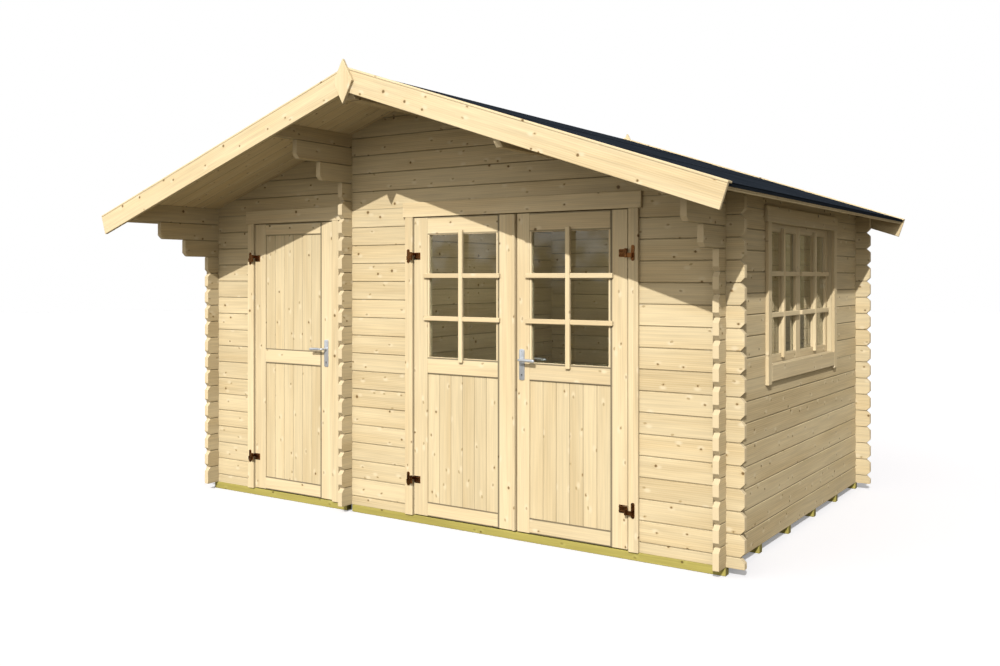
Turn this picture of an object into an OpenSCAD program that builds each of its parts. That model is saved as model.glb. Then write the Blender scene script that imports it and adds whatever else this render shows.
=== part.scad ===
// Two-room garden shed of interlocking wall logs under a front-gabled roof.
// X runs across the front, Y from front to back, Z up from the ground.

/* [Logs] */
// Height of one wall log, from joint to joint
log_h = 114; // [90:1:140]
// Thickness of a wall log
log_t = 34; // [26:1:44]
// How far log ends stand out past a crossing wall
log_end = 96; // [70:1:140]
// Bevel on the corners of a log end
end_cut = 25; // [10:1:35]
// Depth of the V groove at each log joint
groove_d = 7; // [2:0.5:8]
// Half height of the V groove at each log joint
groove_h = 4; // [2:0.5:8]
// Side play in the notches where logs cross
notch_play = 0.3; // [0.1:0.1:2]

/* [Walls] */
// Outer width across the two side walls
wall_w = 3805; // [3500:5:4500]
// Outer depth across the front and back walls
wall_d = 2523; // [2300:1:3200]
// Number of logs in a side wall above the course that the door frames end in
logs_over_doors = 1; // [1:1:3]
// Centre of the partition wall, from the middle of the shed
partition_x = -617; // [-640:1:-590]
// Step by which each roof-bearing log end runs further forward
corbel_step = 200; // [100:5:215]
// First forward step of the roof-bearing log ends
corbel_first = 290; // [200:5:300]

/* [Base] */
// Height of a foundation beam
beam_h = 45; // [30:1:80]
// Width of a foundation beam
beam_w = 45; // [36:1:80]
// Number of foundation beams
beam_count = 6; // [4:1:8]
// Break in the front beam under the partition
beam_break = 44; // [20:1:80]
// Thickness of the floor boards
floor_t = 18; // [14:1:28]
// Gap between the floor boards and the walls
floor_gap = 5; // [2:1:12]

/* [Roof] */
// Slope of the roof in degrees
roof_slope = 18.7; // [16:0.1:20]
// Front overhang, from the front wall to the bargeboards
front_overhang = 700; // [690:5:900]
// Back overhang, from the back wall to the bargeboards
back_overhang = 160; // [130:5:300]
// Eave overhang beyond the side walls
eave_overhang = 268; // [200:1:350]
// Thickness of the roof boards
roof_t = 19; // [15:1:28]
// Thickness of the roofing felt
felt_t = 4; // [2:0.5:8]
// Depth of the felt's fold over the eave
felt_lip = 14; // [8:1:18]
// Width of a purlin
purlin_w = 40; // [34:1:60]
// Height of a purlin
purlin_h = 140; // [110:1:160]
// Width of the ridge purlin
ridge_w = 80; // [50:1:110]
// Centre of the right purlin, from the middle of the shed
purlin_x = 990; // [900:5:1100]
// Thickness of the lath under each eave
lath_t = 9; // [6:1:24]
// Width of the lath under each eave
lath_w = 45; // [30:1:60]

/* [Gable trim] */
// Width of a bargeboard
barge_w = 120; // [100:1:150]
// Thickness of a bargeboard
barge_t = 20; // [16:1:28]
// How far a bargeboard runs past the roof boards
barge_run = 6; // [4:1:20]
// Thickness of the strip on a bargeboard
trim_t = 11; // [8:1:24]
// Width of the strip on a bargeboard
trim_w = 50; // [40:1:70]
// Width of a finial
finial_w = 136; // [80:1:160]
// Height of a finial
finial_h = 248; // [200:1:300]
// Rise of a finial's tip over the ridge of the felt
finial_rise = 52; // [30:1:80]
// Thickness of a finial
finial_t = 20; // [14:1:28]

/* [Doors] */
// Width of one door leaf
leaf_w = 716; // [660:1:730]
// Height of a door leaf
leaf_h = 1806; // [1500:1:2150]
// Thickness of a door leaf
leaf_t = 40; // [34:1:42]
// How far the leaves stand in front of the wall face
leaf_proud = 10; // [4:1:14]
// Running gap beside and under a leaf
leaf_gap = 8; // [7:0.5:10]
// Running gap over a leaf
head_gap = 5.5; // [5:0.5:10]
// Gap between the two leaves of the double door
meet_gap = 12; // [10:0.5:16]
// How far the meeting edges lie to the right of the double door's middle
meet_in = 20; // [0:1:30]
// Centre of the single door, from the middle of the shed
single_x = -1125; // [-1140:1:-1110]
// Centre of the double door, from the middle of the shed
double_x = 638; // [600:1:680]
// Width of the stiles and of the middle rail of a leaf
stile_w = 102; // [80:1:115]
// Height of the top rail of the boarded leaf
boarded_top = 78; // [60:1:110]
// Height of the bottom rail of a leaf
bottom_rail = 85; // [70:1:120]
// Height of the middle rail's lower edge above the leaf's foot
rail_z = 862; // [820:1:900]
// Height of the middle rail
rail_h = 98; // [80:1:110]
// Thickness of the boarded panels
panel_t = 18; // [14:1:22]
// Set-back of the panels behind the leaf's face
panel_back = 8; // [4:1:12]
// Number of boards across a panel
panel_boards = 6; // [4:1:8]
// Depth of the groove between panel boards
board_groove = 3; // [1:0.5:5]
// Thickness of the glass
glass_t = 4; // [3:0.5:6]
// Play round panels and glass in their frame
glaze_play = 0.3; // [0.1:0.1:1]
// Width of the strip where the two leaves meet
strip_w = 18; // [12:1:26]
// Thickness of the strip where the two leaves meet
strip_t = 10; // [6:1:14]

/* [Door frames] */
// Thickness of a door frame's jamb
jamb_t = 30; // [24:1:40]
// Depth of a door frame from the outer wall face
frame_d = 62; // [60:1:80]
// Gap between a shut leaf and its stop
stop_gap = 6; // [5:0.5:9]
// How far the stop stands in behind a leaf
stop_w = 12; // [8:1:18]
// Height of the door sill over the beams
sill_h = 30; // [22:1:40]
// Play between a frame and its wall
frame_play = 0.3; // [0.1:0.1:2]
// Width of the casing boards
casing_w = 58; // [48:1:64]
// Thickness of the casing boards
casing_t = 20; // [14:1:24]
// Height of the casing's head board
casing_head = 90; // [70:1:96]
// How far the head board runs past the casing's sides
head_run = 18; // [0:1:24]

/* [Hinges and levers] */
// Height of the lower hinges above the wall's foot
hinge_low = 222; // [180:1:300]
// Distance of the upper hinges below the leaf's top
hinge_top = 232; // [180:1:300]
// Distance of the hinge pins in front of the wall face
pin_out = 38; // [36:1:46]
// Radius of a hinge pin
pin_r = 5; // [3:0.5:6]
// Radius of a hinge knuckle
knuckle_r = 9; // [8:0.5:10]
// Play between a pin and the knuckle that turns on it
pin_play = 0.3; // [0.2:0.1:0.6]
// Height of one knuckle
knuckle_h = 24; // [16:1:30]
// Thickness of the hinge plates
hinge_t = 4; // [3:0.5:6]
// Height of the fixed hinge plate
plate_h = 84; // [64:1:100]
// Width of the fixed hinge plate
plate_w = 20; // [18:1:30]
// Length of the strap on the leaf
strap_l = 44; // [30:1:70]
// Height of the strap on the leaf
strap_h = 42; // [36:1:50]
// Radius of the two ribs along a strap
rib_r = 4; // [2:0.5:5]
// Height of the lever's spindle above the wall's foot
lever_z = 986; // [960:1:1005]
// Height of the lever's spindle above the middle of its plate
lever_up = 28; // [0:1:45]
// Distance of the single door's spindle from the leaf's edge
lever_in = 46; // [40:1:60]
// Distance of the double door's spindle from the meeting edge
meet_lever_in = 34; // [30:1:44]
// Length of a lever from its spindle
lever_l = 108; // [80:1:130]
// Radius of a lever's grip
grip_r = 7; // [5:0.5:9]
// Reach of a lever's neck in front of its plate
neck_l = 42; // [30:1:55]
// Width of a lever plate
lock_w = 36; // [28:1:44]
// Height of a lever plate
lock_h = 176; // [140:1:200]
// Thickness of a lever plate
lock_t = 5; // [3:0.5:8]

/* [Window] */
// Number of courses of logs beside the window
window_logs = 8; // [6:1:8]
// Number of logs over the window
logs_over_window = 1; // [1:1:2]
// Width between the casings of the window
window_w = 1240; // [1000:5:1300]
// Height of the window's sill over the logs below it
window_sill = 54; // [40:1:70]
// Height of the window's head under the logs above it
window_head = 66; // [40:1:80]
// Depth of the window's lining from the outer wall face
lining_d = 82; // [78:1:100]
// Set-back of the sashes behind the outer wall face
sash_back = 28; // [20:1:34]
// Thickness of a sash
sash_t = 40; // [34:1:42]
// Width of a sash's stiles and rails
sash_w = 42; // [36:1:60]
// Height of the board under the window
apron_h = 92; // [70:1:100]
// How far the side casings run below the board under the window
casing_tail = 16; // [0:1:40]

/* [Hidden] */

spruce = "#E6D2A0";
treated = "#A79B45";
felt_blue = "#232B44";
bronze = "#6B4226";
steel = "#B9BCC0";
pane = "#5C6354";

half_log = 0.5;
quarter_log = 0.25;
round_fn = 48;
total_d = front_overhang + wall_d + back_overhang + 2 * (barge_t + finial_t);
front_y = -total_d / 2 + finial_t + barge_t + front_overhang;
back_y = front_y + wall_d;
roof_front = front_y - front_overhang;
roof_back = back_y + back_overhang;
roof_len = roof_back - roof_front;
side_x = wall_w / 2;
inner_x = side_x - log_t;
part_left = partition_x - log_t / 2;
part_right = partition_x + log_t / 2;
foot_z = beam_h;
course_over_doors = ceil((leaf_gap + leaf_h + head_gap + jamb_t) / log_h - half_log);
doors_top = (course_over_doors + half_log) * log_h;
wall_logs = course_over_doors + logs_over_doors;
side_top = foot_z + wall_logs * log_h;
ridge_z = side_top + inner_x * tan(roof_slope);
eave_u = (side_x + eave_overhang) / cos(roof_slope);
felt_foot = roof_t + felt_t - felt_lip;
gable_top = ceil((ridge_z - foot_z) / log_h + half_log);
cross_xs = [-side_x, part_left, inner_x];
cross_ys = [front_y, back_y - log_t];
leaf_foot = foot_z + leaf_gap;
leaf_top = leaf_foot + leaf_h;
hinge_zs = [foot_z + hinge_low, leaf_top - hinge_top];
single_half = leaf_w / 2 + leaf_gap;
double_half = leaf_w + meet_gap / 2 + leaf_gap;
wall_cut = jamb_t + frame_play;
leaf_y = front_y - leaf_proud;
single_edge = single_x - leaf_w / 2;
left_edge = double_x - meet_gap / 2 - leaf_w;
right_edge = double_x + meet_gap / 2 + leaf_w;
left_meet = left_edge + leaf_w + meet_in;
right_meet = right_edge - leaf_w + meet_in;
pin_y = front_y - pin_out;
pin_in = leaf_gap / 2;
window_y = front_y + wall_d / 2;
window_first = wall_logs - logs_over_window - window_logs;
window_low = foot_z + window_first * log_h;
window_high = window_low + window_logs * log_h;
pane_low = window_low + window_sill;
pane_high = window_high - window_head;
over = 1;

function soffit(x) = ridge_z - abs(x) * tan(roof_slope);
function bearing(x) = soffit(x) - notch_play;
function course(i, half) = foot_z + (half ? max(0, i - half_log) : i) * log_h;
function slope_at(u, v) = [u * cos(roof_slope) + v * sin(roof_slope),
    ridge_z - u * sin(roof_slope) + v * cos(roof_slope)];
function plumb(v, x) = (x - v * sin(roof_slope)) / cos(roof_slope);
function slab(v0, v1, u1, x0) = [slope_at(plumb(v0, x0), v0), slope_at(u1, v0), slope_at(u1, v1),
    slope_at(plumb(v1, x0), v1)];

// One end of a stack of logs: s is the outward direction, tips the end of each log.
function log_tips(i0, half, s, tips, low_cut, top_cut) = [for (k = [0:len(tips) - 1])
    let (
        z0 = course(i0 + k, half),
        z1 = course(i0 + k + 1, half),
        lo = k > 0 || low_cut ? end_cut : 0,
        hi = (k < len(tips) - 1 ? tips[k + 1] == tips[k] : top_cut) ? end_cut : 0)
    each concat(lo > 0 ? [[tips[k] - s * lo, z0], [tips[k], z0 + lo]] : [[tips[k], z0]],
        [[tips[k], z1 - hi]],
        k == len(tips) - 1 && hi > 0 ? [[tips[k] - s * hi, z1]] : [])];
function flat_tip(x, z0, z1) = [[x, z0], [x, z1]];
function reversed(a) = [for (i = [len(a) - 1:-1:0]) a[i]];
function same_tips(x, n) = [for (k = [1:n]) x];

// Cross-section of a stack of logs with a groove at every joint on both faces.
function log_section(i0, n, half) =
    let (
        z0 = course(i0, half),
        z1 = course(i0 + n, half),
        face = [for (k = [1:n - 1]) let (z = course(i0 + k, half))
            each [[0, z - groove_h], [groove_d, z], [0, z + groove_h]]])
    concat([[0, z0]], n > 1 ? face : [], [[0, z1], [log_t, z1]],
        n > 1 ? [for (p = reversed(face)) [log_t - p[0], p[1]]] : [], [[log_t, z0]]);

module along_x(x, len) {
    translate([x, 0, 0])
        rotate([90, 0, 90])
            linear_extrude(len)
                children();
}

module along_y(y, len) {
    translate([0, y + len, 0])
        rotate([90, 0, 0])
            linear_extrude(len)
                children();
}

module block(a, b) {
    translate(a)
        cube(b - a);
}

module under_roof() {
    reach = side_x + eave_overhang;
    along_y(roof_front - over, roof_len + 2 * over)
        polygon([[-reach, 0], [reach, 0], [reach, bearing(reach)], [0, bearing(0)],
            [-reach, bearing(reach)]]);
}

// Notches in a wall along X for the logs that cross it.
module notches_x(y, first, last) {
    for (x = cross_xs, k = [first:last])
        block([x - notch_play, y - over, foot_z + (k + quarter_log) * log_h],
            [x + log_t + notch_play, y + log_t + over, foot_z + (k + 1 - quarter_log) * log_h]);
}

// Notches in a wall along Y for the logs that cross it.
module notches_y(x, first, last) {
    for (y = cross_ys, k = [first:last])
        block([x - over, y - notch_play, foot_z + (k - quarter_log) * log_h],
            [x + log_t + over, y + log_t + notch_play, foot_z + (k + quarter_log) * log_h]);
}

// A stack of logs along X, whose outline is given in X and Z.
module logs_x(y, i0, n, outline) {
    intersection() {
        along_y(y, log_t)
            polygon(outline);
        along_x(-side_x - log_end - over, wall_w + 2 * (log_end + over))
            translate([y, 0])
                polygon(log_section(i0, n, true));
    }
}

// A stack of logs along Y, whose outline is given in Y and Z.
module logs_y(x, i0, n, outline) {
    intersection() {
        along_x(x, log_t)
            polygon(outline);
        along_y(roof_front - over, roof_len + 2 * over)
            translate([x, 0])
                polygon(log_section(i0, n, false));
    }
}

// Ends of the logs that carry the roof: the top three run forward in steps.
function front_tips(n, first) = [for (k = [first:n - 1])
    k == n - 1 ? roof_front : k == n - 2 ? front_y - corbel_first - corbel_step
        : k == n - 3 ? front_y - corbel_first : front_y - log_end];
function back_tips(n, first) = [for (k = [first:n - 1]) k == n - 1 ? roof_back : back_y + log_end];

module foundation_beams() {
    pitch = (wall_d - log_t) / (beam_count - 1);
    color(treated)
        for (k = [0:beam_count - 1]) {
            y = front_y + log_t / 2 + k * pitch - beam_w / 2;
            if (k == 0) {
                block([-side_x, y, 0], [partition_x - beam_break / 2, y + beam_w, beam_h]);
                block([partition_x + beam_break / 2, y, 0], [side_x, y + beam_w, beam_h]);
            } else {
                block([-side_x, y, 0], [side_x, y + beam_w, beam_h]);
            }
        }
}

module floor_boards() {
    y0 = front_y + frame_d + floor_gap;
    y1 = back_y - log_t - floor_gap;
    color(spruce) {
        block([-inner_x + floor_gap, y0, foot_z], [part_left - floor_gap, y1, foot_z + floor_t]);
        block([part_right + floor_gap, y0, foot_z], [inner_x - floor_gap, y1, foot_z + floor_t]);
    }
}

// Part of the front wall from the ground to the logs over the doors.
module front_pier(x0, x1, left_end, right_end) {
    n = course_over_doors + 1;
    z1 = course(n, true);
    left = left_end ? log_tips(0, true, -1, same_tips(x0, n), false, true) : flat_tip(x0, foot_z, z1);
    right = right_end ? log_tips(0, true, 1, same_tips(x1, n), false, true) : flat_tip(x1, foot_z, z1);
    color(spruce)
        difference() {
            logs_x(front_y, 0, n, concat(right, reversed(left)));
            notches_x(front_y, 0, course_over_doors);
        }
}

module front_wall_left() {
    front_pier(-side_x - log_end, single_x - single_half - wall_cut, true, false);
}

module front_wall_middle() {
    front_pier(single_x + single_half + wall_cut, double_x - double_half - wall_cut, false, false);
}

module front_wall_right() {
    front_pier(double_x + double_half + wall_cut, side_x + log_end, false, true);
}

// Passages through a gable for the ridge purlin and the right purlin.
module purlin_passages(y) {
    along_y(y - over, log_t + 2 * over) {
        translate([-ridge_w / 2 - notch_play, ridge_z - purlin_h])
            square([ridge_w + 2 * notch_play, purlin_h + over]);
        translate([purlin_x - purlin_w / 2 - notch_play, soffit(purlin_x) - purlin_h])
            square([purlin_w + 2 * notch_play, purlin_h + purlin_w]);
    }
}

module gable_logs(y, first) {
    tip = side_x + log_end;
    z0 = course(first, true);
    n = gable_top - first + 1;
    difference() {
        logs_x(y, first, n, [[-tip, z0], [tip, z0], [tip, bearing(tip)], [0, bearing(0)],
            [-tip, bearing(tip)]]);
        notches_x(y, first - 1, gable_top);
        purlin_passages(y);
    }
}

module front_gable() {
    color(spruce)
        gable_logs(front_y, course_over_doors + 1);
}

module left_wall() {
    outline = concat(log_tips(0, false, 1, back_tips(wall_logs, 0), false, false),
        reversed(log_tips(0, false, -1, front_tips(wall_logs, 0), false, false)));
    color(spruce)
        intersection() {
            difference() {
                logs_y(-side_x, 0, wall_logs, outline);
                notches_y(-side_x, 0, wall_logs);
            }
            under_roof();
        }
}

module back_wall() {
    y = back_y - log_t;
    tip = side_x + log_end;
    n = course_over_doors + 1;
    side = log_tips(0, true, 1, same_tips(tip, n), false, false);
    outline = concat(side, [[tip, bearing(tip)], [0, bearing(0)], [-tip, bearing(tip)]],
        [for (p = reversed(side)) [-p[0], p[1]]]);
    color(spruce)
        difference() {
            logs_x(y, 0, gable_top + 1, outline);
            notches_x(y, 0, gable_top);
            purlin_passages(y);
        }
}

module partition_wall() {
    n = ceil((soffit(part_left) - foot_z) / log_h);
    outline = concat(log_tips(0, false, 1, back_tips(n, 0), false, false),
        reversed(log_tips(0, false, -1, front_tips(n, 0), false, false)));
    color(spruce)
        intersection() {
            difference() {
                logs_y(part_left, 0, n, outline);
                notches_y(part_left, 0, n);
            }
            under_roof();
        }
}

// Part of the right wall: n courses of logs from course i0, within the outline.
module right_wall_part(i0, n, outline) {
    color(spruce)
        intersection() {
            difference() {
                logs_y(inner_x, i0, n, outline);
                notches_y(inner_x, i0, i0 + n);
            }
            under_roof();
        }
}

function part_of(tips, i0, n) = [for (k = [i0:i0 + n - 1]) tips[k]];

module right_wall_lower() {
    n = window_first;
    right_wall_part(0, n, concat(
        log_tips(0, false, 1, part_of(back_tips(wall_logs, 0), 0, n), false, true),
        reversed(log_tips(0, false, -1, part_of(front_tips(wall_logs, 0), 0, n), false, true))));
}

module right_wall_front() {
    edge = window_y - window_w / 2 - wall_cut;
    right_wall_part(window_first, window_logs, concat(
        flat_tip(edge, window_low, window_high),
        reversed(log_tips(window_first, false, -1,
            part_of(front_tips(wall_logs, 0), window_first, window_logs), true, false))));
}

module right_wall_back() {
    edge = window_y + window_w / 2 + wall_cut;
    right_wall_part(window_first, window_logs, concat(
        log_tips(window_first, false, 1,
            part_of(back_tips(wall_logs, 0), window_first, window_logs), true, true),
        reversed(flat_tip(edge, window_low, window_high))));
}

module right_wall_upper() {
    i0 = window_first + window_logs;
    n = wall_logs - i0;
    right_wall_part(i0, n, concat(
        log_tips(i0, false, 1, part_of(back_tips(wall_logs, 0), i0, n), true, false),
        reversed(log_tips(i0, false, -1, part_of(front_tips(wall_logs, 0), i0, n), true, false))));
}

// A purlin under the roof boards with a bevelled foot at its front end.
module purlin(x, w) {
    low = soffit(x) - purlin_h;
    color(spruce)
        difference() {
            intersection() {
                block([x - w / 2, roof_front, low], [x + w / 2, roof_back, ridge_z + over]);
                under_roof();
            }
            translate([x, roof_front, low])
                rotate([45, 0, 0])
                    cube([w + 2 * over, end_cut * sqrt(2), end_cut * sqrt(2)], center = true);
        }
}

module ridge_purlin() {
    purlin(0, ridge_w);
}

module right_purlin() {
    purlin(purlin_x, purlin_w);
}

// A piece on the right slope, whose outline is given in X and Z, and its mirror on the left.
module right_slope(y, len, outline) {
    along_y(y, len)
        polygon(outline);
}

module left_slope(y, len, outline) {
    mirror([1, 0, 0])
        right_slope(y, len, outline);
}

roof_outline = slab(0, roof_t, eave_u, notch_play);
felt_outline = [slope_at(plumb(roof_t, notch_play), roof_t), slope_at(eave_u, roof_t),
    slope_at(eave_u, felt_foot), slope_at(eave_u + felt_t, felt_foot),
    slope_at(eave_u + felt_t, roof_t + felt_t),
    slope_at(plumb(roof_t + felt_t, notch_play), roof_t + felt_t)];
lath_outline = [slope_at(eave_u - lath_w, -lath_t), slope_at(eave_u, -lath_t),
    slope_at(eave_u, -notch_play), slope_at(eave_u - lath_w, -notch_play)];
barge_outline = slab(roof_t + felt_t - barge_w, roof_t + felt_t, eave_u + felt_t + barge_run, notch_play);
strip_outline = slab(roof_t + felt_t, roof_t + felt_t + trim_t, eave_u + felt_t + barge_run, notch_play);

module left_roof_boards() {
    color(spruce)
        left_slope(roof_front, roof_len, roof_outline);
}

module right_roof_boards() {
    color(spruce)
        right_slope(roof_front, roof_len, roof_outline);
}

module left_felt() {
    color(felt_blue)
        left_slope(roof_front, roof_len, felt_outline);
}

module right_felt() {
    color(felt_blue)
        right_slope(roof_front, roof_len, felt_outline);
}

module eave_laths() {
    color(spruce) {
        left_slope(roof_front, roof_len, lath_outline);
        right_slope(roof_front, roof_len, lath_outline);
    }
}

module front_bargeboards() {
    color(spruce) {
        left_slope(roof_front - barge_t, barge_t, barge_outline);
        right_slope(roof_front - barge_t, barge_t, barge_outline);
    }
}

module back_bargeboards() {
    color(spruce) {
        left_slope(roof_back, barge_t, barge_outline);
        right_slope(roof_back, barge_t, barge_outline);
    }
}

module barge_strips() {
    color(spruce)
        for (y = [roof_front - barge_t, roof_back + barge_t - trim_w]) {
            left_slope(y, trim_w, strip_outline);
            right_slope(y, trim_w, strip_outline);
        }
}

module finials() {
    tip = ridge_z + (roof_t + felt_t) / cos(roof_slope) + finial_rise;
    middle = tip - finial_h / 2;
    outline = [[0, tip - finial_h], [finial_w / 2, middle], [0, tip], [-finial_w / 2, middle]];
    color(spruce)
        for (y = [roof_front - barge_t - finial_t, roof_back + barge_t])
            along_y(y, finial_t)
                polygon(outline);
}

// A door frame with a stop behind the leaves; half is half the clear width.
module door_frame(x, half) {
    y1 = front_y + frame_d;
    stop_y = leaf_y + leaf_t + stop_gap;
    top = foot_z + doors_top - frame_play;
    head = leaf_top + head_gap;
    color(spruce)
        difference() {
            block([x - half - jamb_t, front_y, foot_z], [x + half + jamb_t, y1, top]);
            block([x - half, front_y - over, foot_z - over], [x + half, stop_y, head]);
            block([x - half + stop_w, front_y, foot_z + sill_h],
                [x + half - stop_w, y1 + over, head - stop_w]);
        }
}

// Casing boards on the wall face round a door.
module door_casing(x, half) {
    head = leaf_top + head_gap;
    color(spruce) {
        for (side = [-1, 1])
            block([x + min(side * half, side * (half + casing_w)), front_y - casing_t, foot_z],
                [x + max(side * half, side * (half + casing_w)), front_y, head]);
        block([x - half - casing_w - head_run, front_y - casing_t, head],
            [x + half + casing_w + head_run, front_y, head + casing_head]);
    }
}

module single_door_frame() {
    door_frame(single_x, single_half);
}

module single_door_casing() {
    door_casing(single_x, single_half);
}

module double_door_frame() {
    door_frame(double_x, double_half);
}

module double_door_casing() {
    door_casing(double_x, double_half);
}

// Stiles and rails of a leaf from x0 to x1, framed round panels that start a stile's width from x.
module leaf_frame(x, x0, x1, top_rail) {
    color(spruce)
        difference() {
            block([x0, leaf_y, leaf_foot], [x1, leaf_y + leaf_t, leaf_top]);
            block([x + stile_w, leaf_y - over, leaf_foot + bottom_rail],
                [x + leaf_w - stile_w, leaf_y + leaf_t + over, leaf_foot + rail_z]);
            block([x + stile_w, leaf_y - over, leaf_foot + rail_z + rail_h],
                [x + leaf_w - stile_w, leaf_y + leaf_t + over, leaf_top - top_rail]);
        }
}

// Upright boards that fill an opening of a leaf, grooved where they meet.
module boarded_panel(x, z0, z1) {
    w = leaf_w - 2 * stile_w - 2 * glaze_play;
    pitch = w / panel_boards;
    grooves = [for (k = [1:panel_boards - 1])
        each [[k * pitch - board_groove, 0], [k * pitch, board_groove], [k * pitch + board_groove, 0]]];
    color(spruce)
        translate([x + stile_w + glaze_play, leaf_y + panel_back, z0 + glaze_play])
            linear_extrude(z1 - z0 - 2 * glaze_play)
                polygon(concat([[0, 0]], grooves, [[w, 0], [w, panel_t], [0, panel_t]]));
}

module lower_panel(x) {
    boarded_panel(x, leaf_foot + bottom_rail, leaf_foot + rail_z);
}

module leaf_glass(x) {
    y = leaf_y + (leaf_t - glass_t) / 2;
    color(pane)
        block([x + stile_w + glaze_play, y, leaf_foot + rail_z + rail_h + glaze_play],
            [x + leaf_w - stile_w - glaze_play, y + glass_t, leaf_top - stile_w - glaze_play]);
}

// A fixed hinge half: plate on the casing, arm, lower knuckle and pin; s points from pin to casing.
module hinge_pin(x, s, z) {
    plate_x = x + s * (pin_in + casing_w / 2);
    plate_run = (plate_h - plate_w) / 2;
    face = front_y - casing_t;
    color(bronze) {
        block([plate_x - plate_w / 2, face - hinge_t, z - plate_run],
            [plate_x + plate_w / 2, face, z + plate_run]);
        for (end = [-plate_run, plate_run])
            translate([plate_x, face, z + end])
                rotate([90, 0, 0])
                    cylinder(d = plate_w, h = hinge_t, $fn = round_fn);
        block([min(x, plate_x), pin_y - hinge_t / 2, z - knuckle_h],
            [max(x, plate_x), pin_y + hinge_t / 2, z]);
        block([plate_x - hinge_t / 2, pin_y, z - knuckle_h], [plate_x + hinge_t / 2, face, z]);
        translate([x, pin_y, z - knuckle_h])
            cylinder(r = knuckle_r, h = knuckle_h, $fn = round_fn);
        translate([x, pin_y, z - knuckle_h])
            cylinder(r = pin_r, h = 2 * knuckle_h, $fn = round_fn);
    }
}

// A moving hinge half: strap on the leaf and knuckle over the pin; s points from pin to leaf.
module hinge_strap(x, s, z) {
    near = x + s * (pin_in + hinge_t);
    far = near + s * strap_l;
    color(bronze)
        difference() {
            union() {
                block([min(near, far), leaf_y - hinge_t, z - strap_h / 2],
                    [max(near, far), leaf_y, z + strap_h / 2]);
                for (rib = [-strap_h / 4, strap_h / 4])
                    translate([min(near, far), leaf_y - hinge_t, z + rib])
                        rotate([0, 90, 0])
                            cylinder(r = rib_r, h = strap_l, $fn = round_fn);
                block([min(near, near + s * 2 * hinge_t), pin_y, z + hinge_t],
                    [max(near, near + s * 2 * hinge_t), leaf_y, z + strap_h / 2]);
                block([min(x, near + s * hinge_t), pin_y - hinge_t / 2, z + hinge_t],
                    [max(x, near + s * hinge_t), pin_y + hinge_t / 2, z + strap_h / 2]);
                translate([x, pin_y, z + pin_play])
                    cylinder(r = knuckle_r, h = knuckle_h - pin_play, $fn = round_fn);
            }
            translate([x, pin_y, z])
                cylinder(r = pin_r + pin_play, h = 2 * knuckle_h, $fn = round_fn);
        }
}

module leaf_straps(x, s) {
    for (z = hinge_zs)
        hinge_strap(x, s, z);
}

module hinge_pins() {
    for (z = hinge_zs) {
        hinge_pin(single_edge - pin_in, -1, z);
        hinge_pin(left_edge - pin_in, -1, z);
        hinge_pin(right_edge + pin_in, 1, z);
    }
}

// The same piece on the outer and the inner face of a leaf.
module both_faces() {
    children();
    translate([0, 2 * leaf_y + leaf_t, 0])
        mirror([0, 1, 0])
            children();
}

// Lever plates on the two faces of a leaf, bored for the lever's neck.
module lever_plate(x) {
    plate_z = foot_z + lever_z - lever_up;
    color(steel)
        both_faces()
            difference() {
                block([x - lock_w / 2, leaf_y - lock_t, plate_z - lock_h / 2],
                    [x + lock_w / 2, leaf_y, plate_z + lock_h / 2]);
                translate([x, leaf_y + over, foot_z + lever_z])
                    rotate([90, 0, 0])
                        cylinder(r = grip_r + pin_play, h = lock_t + 2 * over, $fn = round_fn);
            }
}

// Lever handles on both faces: neck out of the plate and a grip that points along s.
module lever(x, s) {
    grip_y = leaf_y - lock_t - neck_l;
    color(steel)
        both_faces()
            translate([x, 0, foot_z + lever_z]) {
                translate([0, leaf_y - pin_play, 0])
                    rotate([90, 0, 0])
                        cylinder(r = grip_r, h = lock_t + neck_l + grip_r - pin_play, $fn = round_fn);
                translate([0, grip_y, 0])
                    rotate([0, s * 90, 0])
                        cylinder(r = grip_r, h = lever_l, $fn = round_fn);
            }
}

module single_leaf() {
    leaf_frame(single_edge, single_edge, single_edge + leaf_w, boarded_top);
}

module single_panels() {
    lower_panel(single_edge);
    boarded_panel(single_edge, leaf_foot + rail_z + rail_h, leaf_top - boarded_top);
}

module single_straps() {
    leaf_straps(single_edge - pin_in, 1);
}

module single_lever_plate() {
    lever_plate(single_edge + leaf_w - lever_in);
}

module single_lever() {
    lever(single_edge + leaf_w - lever_in, -1);
}

module left_leaf() {
    leaf_frame(left_edge, left_edge, left_meet, stile_w);
}

module left_panel() {
    lower_panel(left_edge);
}

module left_glass() {
    leaf_glass(left_edge);
}

module left_straps() {
    leaf_straps(left_edge - pin_in, 1);
}

module right_leaf() {
    leaf_frame(right_edge - leaf_w, right_meet, right_edge, stile_w);
}

module right_panel() {
    lower_panel(right_edge - leaf_w);
}

module right_glass() {
    leaf_glass(right_edge - leaf_w);
}

module right_straps() {
    leaf_straps(right_edge + pin_in, -1);
}

module meeting_strip() {
    color(spruce)
        block([left_meet - strip_w, leaf_y - strip_t, leaf_foot], [left_meet, leaf_y, leaf_top]);
}

module right_lever_plate() {
    lever_plate(right_meet + meet_lever_in);
}

module right_lever() {
    lever(right_meet + meet_lever_in, 1);
}

module window_lining() {
    y0 = window_y - window_w / 2;
    y1 = window_y + window_w / 2;
    x0 = side_x - lining_d;
    color(spruce)
        difference() {
            block([x0, y0 - jamb_t, window_low + frame_play],
                [side_x, y1 + jamb_t, window_high - frame_play]);
            block([x0 - over, y0, pane_low], [side_x + over, y1, pane_high]);
        }
}

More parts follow.
